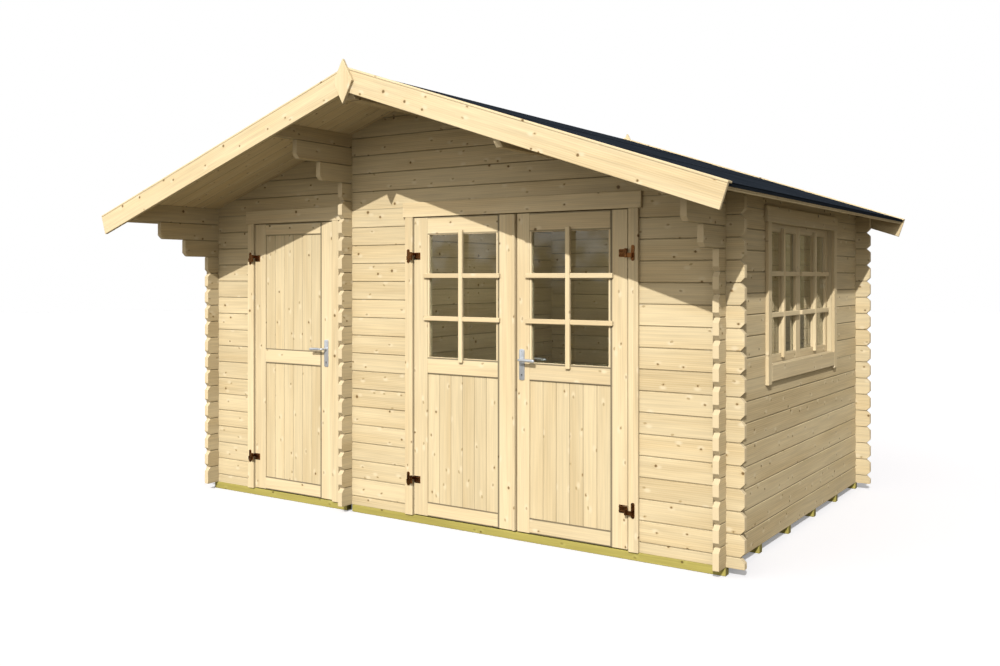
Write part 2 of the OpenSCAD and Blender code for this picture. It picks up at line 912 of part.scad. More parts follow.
module window_casing() {
    y0 = window_y - window_w / 2;
    y1 = window_y + window_w / 2;
    x1 = side_x + casing_t;
    tail = pane_low - apron_h - casing_tail;
    color(spruce) {
        block([side_x, y0 - casing_w, tail], [x1, y0, pane_high]);
        block([side_x, y1, tail], [x1, y1 + casing_w, pane_high]);
        block([side_x, y0 - casing_w - head_run, pane_high],
            [x1, y1 + casing_w + head_run, pane_high + casing_head]);
        block([side_x, y0, pane_low - apron_h], [x1, y1, pane_low]);
    }
}

// The two sashes side by side; k is 0 for the front one and 1 for the back one.
function sash_y(k) = window_y + (k - 1) * window_w / 2 + glaze_play;
sash_l = window_w / 2 - 2 * glaze_play;

module window_sashes() {
    x1 = side_x - sash_back;
    color(spruce)
        for (k = [0, 1])
            difference() {
                block([x1 - sash_t, sash_y(k), pane_low + glaze_play],
                    [x1, sash_y(k) + sash_l, pane_high - glaze_play]);
                block([x1 - sash_t - over, sash_y(k) + sash_w, pane_low + sash_w],
                    [x1 + over, sash_y(k) + sash_l - sash_w, pane_high - sash_w]);
            }
}

module window_glass() {
    x1 = side_x - sash_back - (sash_t - glass_t) / 2;
    color(pane)
        for (k = [0, 1])
            block([x1 - glass_t, sash_y(k) + sash_w + glaze_play, pane_low + sash_w + glaze_play],
                [x1, sash_y(k) + sash_l - sash_w - glaze_play, pane_high - sash_w - glaze_play]);
}

foundation_beams();
floor_boards();
front_wall_left();
front_wall_middle();
front_wall_right();
front_gable();
left_wall();
back_wall();
partition_wall();
right_wall_lower();
right_wall_front();
right_wall_back();
right_wall_upper();
ridge_purlin();
right_purlin();
left_roof_boards();
right_roof_boards();
left_felt();
right_felt();
eave_laths();
front_bargeboards();
back_bargeboards();
barge_strips();
finials();
single_door_frame();
single_door_casing();
double_door_frame();
double_door_casing();
hinge_pins();
single_leaf();
single_panels();
single_straps();
single_lever_plate();
single_lever();
left_leaf();
left_panel();
left_glass();
left_straps();
right_leaf();
right_panel();
right_glass();
right_straps();
meeting_strip();
right_lever_plate();
right_lever();
window_lining();
window_casing();
window_sashes();
window_glass();
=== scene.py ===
"""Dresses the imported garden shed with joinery, roofing, ironmongery and finishes."""

import logging
import math
from dataclasses import dataclass, field
from enum import Enum
from functools import cache
from typing import Callable, Sequence

import bpy
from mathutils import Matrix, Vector

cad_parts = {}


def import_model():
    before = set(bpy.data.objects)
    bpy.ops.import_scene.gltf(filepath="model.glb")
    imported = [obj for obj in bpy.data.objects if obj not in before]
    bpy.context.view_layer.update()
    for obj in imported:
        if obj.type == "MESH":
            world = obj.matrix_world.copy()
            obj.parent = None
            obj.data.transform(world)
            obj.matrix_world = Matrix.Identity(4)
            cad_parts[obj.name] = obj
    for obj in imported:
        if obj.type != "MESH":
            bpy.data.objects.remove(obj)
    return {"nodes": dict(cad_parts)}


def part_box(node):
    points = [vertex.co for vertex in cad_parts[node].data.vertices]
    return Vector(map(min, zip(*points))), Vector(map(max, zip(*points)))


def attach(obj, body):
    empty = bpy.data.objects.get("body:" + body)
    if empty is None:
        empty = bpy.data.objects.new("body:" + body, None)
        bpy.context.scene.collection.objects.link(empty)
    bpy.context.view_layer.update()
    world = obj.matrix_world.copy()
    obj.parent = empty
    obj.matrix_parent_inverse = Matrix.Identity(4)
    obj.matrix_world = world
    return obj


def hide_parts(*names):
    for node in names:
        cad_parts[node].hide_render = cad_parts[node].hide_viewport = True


log = logging.getLogger("garden_shed")

Obj = bpy.types.Object
Point = tuple[float, float, float]
Colour = tuple[float, float, float, float]
Span = tuple[float, float]

BLACK: Colour = (0.0, 0.0, 0.0, 1.0)
WHITE: Colour = (1.0, 1.0, 1.0, 1.0)
SLOPE = math.radians(18.7)
QUARTER = math.pi / 2
LOG_H = 0.114
FOOT_Z = 0.045
RIDGE_Z = 2.61544
ROOF_T = 0.019
FELT_T = 0.004
ROOF_FRONT = -1.6915
ROOF_BACK = 1.6915
EAVE_U = 2.1705 / math.cos(SLOPE)
BOARD_GAP = 0.0003
GLASS_GAP = 0.0002
WELD = 0.00002
FLAT = math.radians(0.5)


class Slot(Enum):
    """Material slots of the record, named when a piece is placed but not used by the script."""

    SPRUCE = "spruce"
    TREATED = "treated_timber"
    FELT = "roofing_felt"
    BRONZE = "hinge_bronze"
    STEEL = "lever_steel"


class Lay(Enum):
    """How the grain lies: the axes along, across and through it, and whether the roof's slope turns it."""

    LOG_ACROSS = ("X", "Z", "Y", False)
    LOG_DEEP = ("Y", "Z", "X", False)
    UPRIGHT_FRONT = ("Z", "X", "Y", False)
    UPRIGHT_SIDE = ("Z", "Y", "X", False)
    BOARD_DEEP = ("Y", "X", "Z", False)
    ROOF_BOARD = ("X", "Y", "Z", True)
    BARGE = ("X", "Z", "Y", True)
    EAVE = ("Y", "X", "Z", True)


class Timber(Enum):
    """Tones of a timber: its pale wood, its streaks, its knots and its end grain."""

    SPRUCE = ((0.77, 0.64, 0.41, 1), (0.60, 0.44, 0.22, 1), (0.17, 0.10, 0.035, 1), (0.80, 0.67, 0.45, 1))
    TRIM = ((0.82, 0.68, 0.44, 1), (0.67, 0.50, 0.27, 1), (0.18, 0.11, 0.04, 1), (0.83, 0.70, 0.47, 1))
    # ROOF is spruce made paler: painted light that brightens the shaded soffit under the roof boards.
    ROOF = ((0.92, 0.76, 0.485, 1), (0.72, 0.53, 0.265, 1), (0.17, 0.10, 0.035, 1), (0.80, 0.67, 0.45, 1))
    TREATED = ((0.47, 0.41, 0.11, 1), (0.35, 0.29, 0.07, 1), (0.12, 0.08, 0.02, 1), (0.22, 0.19, 0.06, 1))


@dataclass(frozen=True, eq=False)
class Wire:
    """An output in a node tree. Reckoning with it adds Math nodes."""

    draft: "NodeDraft"
    socket: bpy.types.NodeSocket

    def __add__(self, other: object) -> "Wire":
        """Adds a number or a wire."""
        return self.draft.math("ADD", self, other)

    def __sub__(self, other: object) -> "Wire":
        """Takes away a number or a wire."""
        return self.draft.math("SUBTRACT", self, other)

    def __mul__(self, other: object) -> "Wire":
        """Multiplies by a number or a wire."""
        return self.draft.math("MULTIPLY", self, other)

    def __truediv__(self, other: object) -> "Wire":
        """Divides by a number or a wire."""
        return self.draft.math("DIVIDE", self, other)

    def __pow__(self, other: object) -> "Wire":
        """Raises to a power."""
        return self.draft.math("POWER", self, other)


@dataclass(frozen=True)
class Placed:
    """A node in a tree, with its outputs as wires."""

    draft: "NodeDraft"
    node: bpy.types.Node

    def __getitem__(self, key: str | int) -> Wire:
        """Returns an output by name or index."""
        return Wire(self.draft, self.node.outputs[key])


@dataclass
class NodeDraft:
    """Adds and links nodes in one tree."""

    tree: bpy.types.NodeTree

    def feed(self, socket: bpy.types.NodeSocket, value: object) -> None:
        """Links a wire to an input, or sets the input's value."""
        if isinstance(value, Wire):
            self.tree.links.new(value.socket, socket)
        else:
            socket.default_value = value

    def feed_all(self, node: bpy.types.Node, values: dict) -> None:
        """Feeds several inputs of a node, given by name or index."""
        for key, value in values.items():
            self.feed(node.inputs[key], value)

    def add(self, kind: str, values: dict | None = None, **settings: object) -> Placed:
        """Adds a node.

        Args:
            kind: The node's type, without the words ShaderNode.
            values: Its inputs by name or index, as constants or wires.
            settings: Its properties.

        Returns:
            The node.
        """
        node = self.tree.nodes.new(f"ShaderNode{kind}")
        for name, value in settings.items():
            setattr(node, name, value)
        self.feed_all(node, values or {})
        return Placed(self, node)

    def math(self, operation: str, a: object, b: object = 0.0, clamp: bool = False) -> Wire:
        """Adds a Math node on one or two values and returns its output."""
        return self.add("Math", {0: a, 1: b}, operation=operation, use_clamp=clamp)[0]

    def vector(self, operation: str, a: object, b: object) -> Wire:
        """Adds a Vector Math node on two vectors and returns its vector."""
        return self.add("VectorMath", {0: a, 1: b}, operation=operation)["Vector"]

    def length(self, vector: object) -> Wire:
        """Returns how long a vector is."""
        return self.add("VectorMath", {0: vector}, operation="LENGTH")["Value"]

    def combine(self, x: object, y: object, z: object = 0.0) -> Wire:
        """Returns a vector put together from its parts."""
        return self.add("CombineXYZ", {"X": x, "Y": y, "Z": z})[0]

    def separate(self, vector: Wire) -> Placed:
        """Returns a node with a vector's parts by axis letter."""
        return self.add("SeparateXYZ", {0: vector})

    def mix(self, share: object, a: object, b: object, blend: str = "MIX") -> Wire:
        """Mixes two colours.

        Args:
            share: How much of the second colour shows.
            a: The first colour.
            b: The second colour.
            blend: Blender's name of the way they are mixed.

        Returns:
            The mixed colour.
        """
        return self.add("Mix", {0: share, 6: a, 7: b}, data_type="RGBA", blend_type=blend)[2]

    def dim(self, colour: object, tone: Wire) -> Wire:
        """Returns a colour times a tone."""
        return self.mix(1.0, colour, self.combine(tone, tone, tone), "MULTIPLY")

    def ramp(self, value: object, low: object, high: object, to_low: object = 0.0, to_high: object = 1.0) -> Wire:
        """Maps a value from one range to another with soft ends.

        Args:
            value: The value.
            low: Start of its range.
            high: End of its range.
            to_low: Result at the start.
            to_high: Result at the end.

        Returns:
            The mapped value.
        """
        values = {0: value, 1: low, 2: high, 3: to_low, 4: to_high}
        return self.add("MapRange", values, interpolation_type="SMOOTHSTEP")[0]

    def noise(self, vector: object, scale: object, detail: float = 2.0) -> Wire:
        """Adds a Noise texture and returns its value."""
        return self.add("TexNoise", {"Vector": vector, "Scale": scale, "Detail": detail})[0]


@dataclass
class Group:
    """A shader node group under construction, with its named inputs and outputs."""

    name: str
    inputs: dict[str, str]
    outputs: dict[str, str]
    draft: NodeDraft = field(init=False)
    given: dict[str, Wire] = field(init=False)

    def __post_init__(self) -> None:
        """Makes the empty tree and its sockets."""
        tree = bpy.data.node_groups.new(self.name, "ShaderNodeTree")
        for way, sockets in (("INPUT", self.inputs), ("OUTPUT", self.outputs)):
            for name, kind in sockets.items():
                tree.interface.new_socket(name, in_out=way, socket_type=f"NodeSocket{kind}")
        self.draft = NodeDraft(tree)
        self.given = {s.name: Wire(self.draft, s) for s in tree.nodes.new("NodeGroupInput").outputs if s.name}

    def put(self, values: dict[str, Wire]) -> bpy.types.NodeTree:
        """Gives the group its outputs and returns its tree."""
        self.draft.feed_all(self.draft.tree.nodes.new("NodeGroupOutput"), values)
        return self.draft.tree


class Effects:
    """Shader node groups that several finishes share, each built at its first use."""

    knot_cells: float = 6.4

    @classmethod
    @cache
    def grain(cls) -> bpy.types.NodeTree:
        """Returns the group for flat-sawn timber: growth rings, fibres, tone from board to board, knots."""
        group = Group(
            "timber_grain",
            {"Place": "Vector", "Board": "Float", "Streaks": "Float", "Knots": "Float",
             "Pale": "Color", "Warm": "Color", "Knot": "Color"},
            {"Color": "Color", "Roughness": "Float", "Height": "Float"},
        )
        d, given = group.draft, group.given
        pale, warm = given["Pale"], given["Warm"]
        chance = d.add("TexWhiteNoise", {"W": given["Board"] + 0.37}, noise_dimensions="1D")
        shift = d.vector("MULTIPLY", chance["Color"], (9.0, 4.0, 0.5))
        place = d.separate(d.vector("ADD", given["Place"], shift))
        along, across, through = place["X"], place["Y"], place["Z"]

        # Knots: dark ones with a rim, faint ones, and a pale ear beside both.
        flat = d.combine(along, across)
        ragged = d.noise(flat, 110.0, 1.0) - 0.5
        cells = d.add("TexVoronoi", {"Vector": flat, "Scale": cls.knot_cells}, voronoi_dimensions="2D")
        pick = d.separate(cells["Color"])
        kept = d.math("LESS_THAN", pick["X"], given["Knots"])
        marked = d.math("LESS_THAN", pick["X"], given["Knots"] * 3.0)
        beside = d.vector("SUBTRACT", flat, cells["Position"])
        aside = d.combine(pick["Y"] - 0.5, pick["Z"] - 0.5)
        ear_place = d.vector("SUBTRACT", beside, d.vector("MULTIPLY", aside, (0.050, 0.034, 0.0)))
        ear_reach = d.length(d.vector("MULTIPLY", ear_place, (0.55, 1.0, 0.0)))
        ear = marked * d.ramp(ear_reach, 0.003, 0.016, 1.0, 0.0)
        slant = d.separate(beside)
        slanted = d.combine(slant["X"] * 0.6, slant["Y"] + slant["X"] * aside)
        smudge = marked * d.ramp(d.length(slanted) + ragged * 0.006, 0.0025, 0.0085, 1.0, 0.0)
        size = pick["Y"] ** 2.0 * 0.0068 + 0.0032
        reach = cells["Distance"] / cls.knot_cells + ragged * 0.004
        core = kept * d.ramp(reach, size * 0.75, size, 1.0, 0.0)
        rim = kept * d.ramp(reach, size, size * 1.5, 1.0, 0.0)
        halo = kept * d.ramp(reach, size, size * 4.5, 1.0, 0.0)

        # Growth rings that bow round the knots, with fibres and slow clouds along the board.
        ring_place = d.combine(along * 0.11, across + halo * 0.006, through * 0.6)
        rings = d.add(
            "TexWave",
            {"Vector": ring_place, "Scale": 30.0, "Distortion": 9.0, "Detail": 2.0, "Detail Scale": 0.14,
             "Detail Roughness": 0.45},
            bands_direction="Y", wave_profile="SAW",
        )["Fac"]
        fibres = d.noise(d.combine(along * 4.0, across * 190.0, through * 190.0), 1.0)
        cloud = d.noise(d.combine(along * 0.9, across * 7.0, through * 3.0), 1.0)
        bands = d.noise(d.combine(along * 2.6, across * 70.0, through * 40.0), 1.0)
        late_wood = rings ** 2.4 * d.ramp(cloud, 0.3, 0.72, 0.15, 1.0)

        colour = d.mix(d.math("MULTIPLY", late_wood, given["Streaks"], clamp=True), pale, warm)
        colour = d.mix(d.ramp(cloud, 0.40, 0.70) * 0.32, colour, warm)
        uneven = (fibres - 0.5) * 0.20 + (bands - 0.5) * (given["Streaks"] * 0.32 + 0.14)
        colour = d.dim(colour, chance["Value"] * 0.12 + 0.91 + uneven)
        warm_knot = d.mix(0.55, given["Knot"], warm)
        colour = d.mix(ear * 0.72, colour, d.vector("MULTIPLY", pale, (1.06, 1.10, 1.22)))
        colour = d.mix(smudge * 0.78, colour, warm_knot)
        colour = d.mix(halo * 0.20, colour, warm)
        colour = d.mix(rim * 0.50, colour, warm_knot)
        colour = d.mix(core * 0.88, colour, given["Knot"])
        return group.put({
            "Color": colour,
            "Height": late_wood * 0.45 + fibres * 0.5 - rim * 0.3,
            "Roughness": fibres * 0.14 + 0.58 - core * 0.14,
        })

    @staticmethod
    @cache
    def end_grain() -> bpy.types.NodeTree:
        """Returns the group for sawn ends: growth rings round a pith that differs from board to board."""
        group = Group(
            "end_grain",
            {"Place": "Vector", "Board": "Float", "Pale": "Color", "Ring": "Color"},
            {"Color": "Color"},
        )
        d, given = group.draft, group.given
        chance = d.add("TexWhiteNoise", {"W": given["Board"] + 0.71}, noise_dimensions="1D")
        pith = d.vector("MULTIPLY", d.vector("SUBTRACT", chance["Color"], (0.1, 1.4, 0.0)), (0.13, 0.12, 0.0))
        arm = d.vector("MULTIPLY", d.vector("SUBTRACT", given["Place"], pith), (1.0, 1.0, 0.0))
        phase = d.length(arm) * 1500.0 + d.noise(given["Place"], 30.0) * 7.0
        ring = (d.math("SINE", phase) * 0.5 + 0.5) ** 1.6
        fuzz = d.noise(given["Place"], 420.0)
        colour = d.mix(ring * 0.40, given["Pale"], given["Ring"])
        return group.put({"Color": d.dim(colour, fuzz * 0.2 + 0.88)})

    @staticmethod
    @cache
    def speckle() -> bpy.types.NodeTree:
        """Returns the group for fine grit and soft mottling on felt and on coated metal."""
        group = Group(
            "grit_and_mottle",
            {"Place": "Vector", "Grit": "Float", "Mottle": "Float", "Dark": "Color", "Light": "Color"},
            {"Color": "Color", "Grit": "Float", "Mottle": "Float"},
        )
        d, given = group.draft, group.given
        fine = d.noise(given["Place"], given["Grit"])
        broad = d.noise(given["Place"], given["Mottle"], 3.0)
        share = d.ramp(fine, 0.36, 0.66) * 0.6 + d.ramp(broad, 0.3, 0.7) * 0.4
        return group.put({"Color": d.mix(share, given["Dark"], given["Light"]), "Grit": fine, "Mottle": broad})


def start_material(name: str) -> tuple[bpy.types.Material, NodeDraft, bpy.types.Node]:
    """Starts a node material.

    Args:
        name: The material's name.

    Returns:
        The material, a draft of its tree, and its Principled shader.
    """
    material = bpy.data.materials.new(name)
    material.use_nodes = True
    shader = next(n for n in material.node_tree.nodes if n.type == "BSDF_PRINCIPLED")
    return material, NodeDraft(material.node_tree), shader


@dataclass(frozen=True)
class Finish:
    """A finish that a piece can be given."""

    name: str

    def material(self) -> bpy.types.Material:
        """Returns the finish's material, made at its first use."""
        found = bpy.data.materials.get(self.name)
        if found:
            return found
        material, draft, shader = start_material(self.name)
        draft.feed_all(shader, self._looks(draft))
        return material

    def _looks(self, d: NodeDraft) -> dict[str, object]:
        """Draws the finish's nodes.

        Args:
            d: The draft of the material's tree.

        Returns:
            What the Principled shader is fed with, by input.
        """
        raise NotImplementedError


@dataclass(frozen=True)
class TimberFinish(Finish):
    """Planed or treated timber whose grain follows the boards of a piece."""

    lay: Lay
    pitch: float = 0.31
    start: float = 0.0
    timber: Timber = Timber.SPRUCE
    streaks: float = 0.75
    knots: float = 0.42
    seed: float = 0.0
    joint: float = 0.0
    joint_shade_tone: float = 0.70
    bounce: float = 0.4

    def _looks(self, d: NodeDraft) -> dict[str, object]:
        """Returns grain on the boards' faces, rings on their ends, and a dim line at their joints: partly the joints'
        own dark, partly painted shade in their grooves, and painted shade alone where stiles, rails and bargeboards
        use it along their edges.
        """
        pale, warm, knot, end = self.timber.value
        along, across, through, _ = self.lay.value
        place, normal, side = self._turned(d)
        step = (place[across] - self.start) / self.pitch
        board = d.math("FLOOR", step) + side + self.seed
        grain = d.add("Group", node_tree=Effects.grain())
        d.feed_all(grain.node, {
            "Place": d.combine(place[along], place[across], place[through]), "Board": board,
            "Streaks": self.streaks, "Knots": self.knots, "Pale": pale, "Warm": warm, "Knot": knot,
        })
        sawn = d.add("Group", node_tree=Effects.end_grain())
        local = d.math("FRACT", step) * self.pitch
        d.feed_all(sawn.node, {"Place": d.combine(local, place[through]), "Board": board, "Pale": end, "Ring": warm})
        cut = d.ramp(d.math("ABSOLUTE", normal[along]), 0.5, 0.62)
        colour = d.mix(cut, grain["Color"], sawn["Color"])
        # Dim line at the joints: partly dark joints, partly painted shade in the grooves; on stiles, rails and
        # bargeboards it is painted shade.
        if self.joint:
            off = d.math("PINGPONG", step, 0.5) * self.pitch
            colour = d.dim(colour, d.ramp(off, self.joint * 0.55, self.joint, self.joint_shade_tone, 1.0))
        # To diffuse rays the timber is darker: it passes on only the bounce share of its colour, which dims the light
        # it throws on nearby surfaces and deepens their shade.
        thrown = d.add("LightPath")["Is Diffuse Ray"] * (1.0 - self.bounce)
        return {
            "Base Color": d.mix(thrown, colour, BLACK),
            "Roughness": d.math("ADD", grain["Roughness"], cut * 0.2, clamp=True),
            "Specular IOR Level": 0.35,
            "Normal": d.add("Bump", {"Strength": 0.55, "Distance": 0.0006, "Height": grain["Height"]})[0],
        }

    def _turned(self, d: NodeDraft) -> tuple[Placed, Placed, object]:
        """Splits the point and the normal by axis, laid into the roof's slope where the lay asks for it.

        Args:
            d: The draft of the material's tree.

        Returns:
            The point's parts, the normal's parts, and a number that tells the two slopes apart.
        """
        coords = d.add("TexCoord")
        point, normal = d.separate(coords["Object"]), d.separate(coords["Normal"])
        if not self.lay.value[3]:
            return point, normal, 0.0
        side = d.math("SIGN", point["X"])
        folded = d.combine(d.math("ABSOLUTE", point["X"]), point["Y"], point["Z"] - RIDGE_Z)
        leaned = d.combine(normal["X"] * side, normal["Y"], normal["Z"])
        flat_point, flat_normal = (
            d.separate(d.add("VectorRotate", {"Vector": v, "Angle": -SLOPE}, rotation_type="Y_AXIS")[0])
            for v in (folded, leaned)
        )
        return flat_point, flat_normal, side * 41.0


@dataclass(frozen=True)
class GritFinish(Finish):
    """A surface of fine grit with a soft mottle: felt, metal, or metal with brush marks upright."""

    dark: Colour
    light: Colour
    rough: Span
    metallic: float = 0.0
    specular: float = 0.5
    brushed: bool = False
    grit: float = 900.0
    mottle: float = 35.0
    bump: Span = (0.25, 0.0003)

    def _looks(self, d: NodeDraft) -> dict[str, object]:
        """Returns speckled colour, uneven gloss and a grain."""
        place = d.add("TexCoord")["Object"]
        if self.brushed:
            place = d.vector("MULTIPLY", place, (1.0, 1.0, 0.04))
        speckle = d.add("Group", node_tree=Effects.speckle())
        d.feed_all(speckle.node, {"Place": place, "Grit": self.grit, "Mottle": self.mottle, "Dark": self.dark,
                                  "Light": self.light})
        strength, distance = self.bump
        return {
            "Base Color": speckle["Color"],
            "Roughness": d.ramp(speckle["Mottle"], 0.3, 0.7, *self.rough),
            "Metallic": self.metallic,
            "Specular IOR Level": self.specular,
            "Normal": d.add("Bump", {"Strength": strength, "Distance": distance, "Height": speckle["Grit"]})[0],
        }


@dataclass(frozen=True)
class GlassFinish(Finish):
    """Clear float glass with an uneven film of dust."""

    tint: Colour = (0.86, 0.90, 0.86, 1)
    dust: Colour = (0.78, 0.82, 0.77, 1)

    def _looks(self, d: NodeDraft) -> dict[str, object]:
        """Returns clear glass, duller where the film lies."""
        film = d.noise(d.add("TexCoord")["Object"], 3.2, 4.0)
        return {
            "Base Color": d.mix(d.ramp(film, 0.4, 0.75), self.tint, self.dust),
            "Roughness": d.ramp(film, 0.45, 0.8, 0.015, 0.07),
            "Transmission Weight": 1.0,
            "IOR": 1.5,
        }


BRONZE = GritFinish("polished_bronze", (0.090, 0.034, 0.013, 1), (0.330, 0.140, 0.045, 1), (0.20, 0.32), 1.0)
STEEL = GritFinish("brushed_steel", (0.54, 0.57, 0.62, 1), (0.68, 0.71, 0.77, 1), (0.26, 0.38), 0.55, brushed=True)
NAIL = GritFinish("blued_nails", (0.010, 0.014, 0.026, 1), (0.026, 0.034, 0.056, 1), (0.55, 0.75), 0.3)
# SHADOW is painted shade: near-black pieces stand for the shade inside the keyholes and the screws' slots.
SHADOW = GritFinish("hole_painted_shade", (0.006, 0.006, 0.006, 1), (0.016, 0.015, 0.014, 1), (0.70, 0.90))
FELT = GritFinish("mineral_felt", (0.0145, 0.0195, 0.0285, 1), (0.034, 0.043, 0.059, 1), (0.82, 0.95), specular=0.0,
                  grit=520.0, mottle=4.0, bump=(0.7, 0.001))
GLASS = GlassFinish("window_glass")


class Bench:
    """Modelling steps, done with Blender's own operators on what is picked."""

    @staticmethod
    def pick(*objs: Obj) -> None:
        """Selects only these objects and makes the first one active."""
        bpy.ops.object.select_all(action="DESELECT")
        for obj in objs:
            obj.select_set(True)
        bpy.context.view_layer.objects.active = objs[0]

    @staticmethod
    def settle(obj: Obj) -> Obj:
        """Puts an object's place, turn and scale into its mesh, and returns it."""
        Bench.pick(obj)
        bpy.ops.object.transform_apply(location=True, rotation=True, scale=True)
        return obj

    @staticmethod
    def name(obj: Obj, name: str) -> Obj:
        """Names an object and its mesh, and returns it."""
        obj.name = name
        obj.data.name = name
        return obj

    @staticmethod
    def primitive(add: Callable, stretch: Sequence[float] = (1.0, 1.0, 1.0), **settings: object) -> Obj:
        """Adds a primitive with nothing else picked.

        Args:
            add: Blender's operator for it.
            stretch: Its scale along each axis.
            settings: The operator's settings.

        Returns:
            The primitive, with its place in its mesh.
        """
        bpy.ops.object.select_all(action="DESELECT")
        add(**settings)
        obj = bpy.context.active_object
        obj.scale = stretch
        return Bench.settle(obj)

    @staticmethod
    def block(low: Sequence[float], high: Sequence[float]) -> Obj:
        """Adds a cube between its lowest and its highest corner, and returns it."""
        low, high = Vector(low), Vector(high)
        return Bench.primitive(bpy.ops.mesh.primitive_cube_add, high - low, size=1.0, location=(low + high) / 2)

    @staticmethod
    def disc(place: Point, radius: float, depth: float, vertices: int, tip: float = QUARTER) -> Obj:
        """Adds a flat round disc.

        Args:
            place: Its middle.
            radius: Its radius.
            depth: Its thickness.
            vertices: Corners of its rim.
            tip: Its turn about X, which lets it face along Y.

        Returns:
            The disc.
        """
        return Bench.primitive(bpy.ops.mesh.primitive_cylinder_add, vertices=vertices, radius=radius, depth=depth,
                               location=place, rotation=(tip, 0, 0))

    @staticmethod
    def apply(obj: Obj, kind: str, **settings: object) -> Obj:
        """Adds a modifier and applies it.

        Args:
            obj: The object.
            kind: The modifier's type.
            settings: Its properties.

        Returns:
            The object.
        """
        modifier = obj.modifiers.new(kind.lower(), kind)
        for key, value in settings.items():
            setattr(modifier, key, value)
        Bench.pick(obj)
        bpy.ops.object.modifier_apply(modifier=modifier.name)
        return obj

    @staticmethod
    def ease(obj: Obj, width: float, segments: int = 2) -> Obj:
        """Rounds an object's sharp edges and returns it."""
        return Bench.apply(obj, "BEVEL", width=width, segments=segments, limit_method="ANGLE",
                           angle_limit=math.radians(30), harden_normals=False)

    @staticmethod
    def repeat(obj: Obj, count: int, step: Point) -> Obj:
        """Repeats a mesh along a step and returns it."""
        return Bench.apply(obj, "ARRAY", count=count, use_relative_offset=False, use_constant_offset=True,
                           constant_offset_displace=step)

    @staticmethod
    def join(name: str, parts: Sequence[Obj]) -> Obj:
        """Joins parts, each with its own mesh, into one named object and returns it."""
        Bench.pick(*parts)
        if len(parts) > 1:
            bpy.ops.object.join()
        return Bench.name(parts[0], name)

    @staticmethod
    def edit(obj: Obj, *steps: Callable[[], object]) -> Obj:
        """Runs steps on a whole mesh in edit mode and returns the object."""
        Bench.pick(obj)
        bpy.ops.object.mode_set(mode="EDIT")
        bpy.ops.mesh.select_all(action="SELECT")
        for step in steps:
            step()
        bpy.ops.object.mode_set(mode="OBJECT")
        return obj

    @staticmethod
    def smooth(obj: Obj, degrees: float = 35.0) -> Obj:
        """Shades an object smooth but for its sharp edges, and returns it."""
        Bench.pick(obj)
        bpy.ops.object.shade_smooth_by_angle(angle=math.radians(degrees))
        return obj


class Frame:
    """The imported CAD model, as the scene uses it."""

    nodes: dict[str, Obj] = {}

    @staticmethod
    def paint(obj: Obj, finish: Finish) -> Obj:
        """Gives an object one finish and returns it."""
        obj.data.materials.clear()
        obj.data.materials.append(finish.material())
        return obj

    @classmethod
    def dress(cls, finish: Finish, *names: str) -> None:
        """Gives CAD nodes a finish."""
        for name in names:
            cls.paint(cls.nodes[name], finish)
            log.info("finished CAD node %s with %s", name, finish.name)

    @staticmethod
    def place(obj: Obj, slot: Slot, body: str = "shed", stands_for: Sequence[str] = ()) -> None:
        """Lets a finished piece ride on a body.

        Args:
            obj: The piece.
            slot: Not used.
            body: The CAD body.
            stands_for: CAD nodes that the piece replaces.
        """
        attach(obj, body)
        if stands_for:
            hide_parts(*stands_for)
        log.info("placed %s on %s, %d faces", obj.name, body, len(obj.data.polygons))

    @classmethod
    def ease_node(cls, node: str, name: str, finish: Finish, width: float, slot: Slot = Slot.SPRUCE) -> None:
        """Puts a copy with rounded edges in the place of a CAD node of the shed.

        Args:
            node: The CAD node.
            name: The copy's name.
            finish: The copy's finish.
            width: Width of the rounding.
            slot: A slot of the record, passed on to place, which does not use it.
        """
        source = cls.nodes[node]
        copy = source.copy()
        copy.data = source.data.copy()
        copy.parent = None
        bpy.context.scene.collection.objects.link(copy)
        copy.hide_render = False
        copy.hide_viewport = False
        Bench.edit(copy, lambda: bpy.ops.mesh.remove_doubles(threshold=WELD),
                   lambda: bpy.ops.mesh.dissolve_limited(angle_limit=FLAT))
        Bench.name(Bench.ease(copy, width), name)
        cls.place(cls.paint(copy, finish), slot, stands_for=[node])


@dataclass(frozen=True)
class Board:
    """A board between two corners, with its finish."""

    low: Point
    high: Point
    finish: Finish

    def build(self, ease: float) -> Obj:
        """Makes the board with eased edges and returns it."""
        return Frame.paint(Bench.ease(Bench.block(self.low, self.high), ease), self.finish)


def joinery(name: str, boards: Sequence[Board], ease: float, body: str = "shed",
            stands_for: Sequence[str] = ()) -> None:
    """Makes one piece of spruce out of boards and lets it ride on a body.

    Args:
        name: The piece's name.
        boards: Its boards.
        ease: Width of the rounding on each board's edges.
        body: The CAD body.
        stands_for: CAD nodes that the piece replaces.
    """
    piece = Bench.join(name, [board.build(ease) for board in boards])
    Frame.place(piece, Slot.SPRUCE, body, stands_for)


class Facing(Enum):
    """The way a wall faces, given as the axis that its boards are set out along."""

    FRONT = 0
    SIDE = 1

    def spans(self, box: Sequence[Vector]) -> tuple[Span, Span, Span]:
        """Returns a box's limits along the wall, through it and in height."""
        low, high = box
        run, depth = self.value, 1 - self.value
        return (low[run], high[run]), (low[depth], high[depth]), (low.z, high.z)

    def board(self, run: Span, depth: Span, height: Span, finish: Finish) -> Board:
        """Returns a board with the given limits along the wall, through it and in height."""
        spans = (run, depth, height) if self is Facing.FRONT else (depth, run, height)
        return Board(*zip(*map(sorted, spans)), finish)


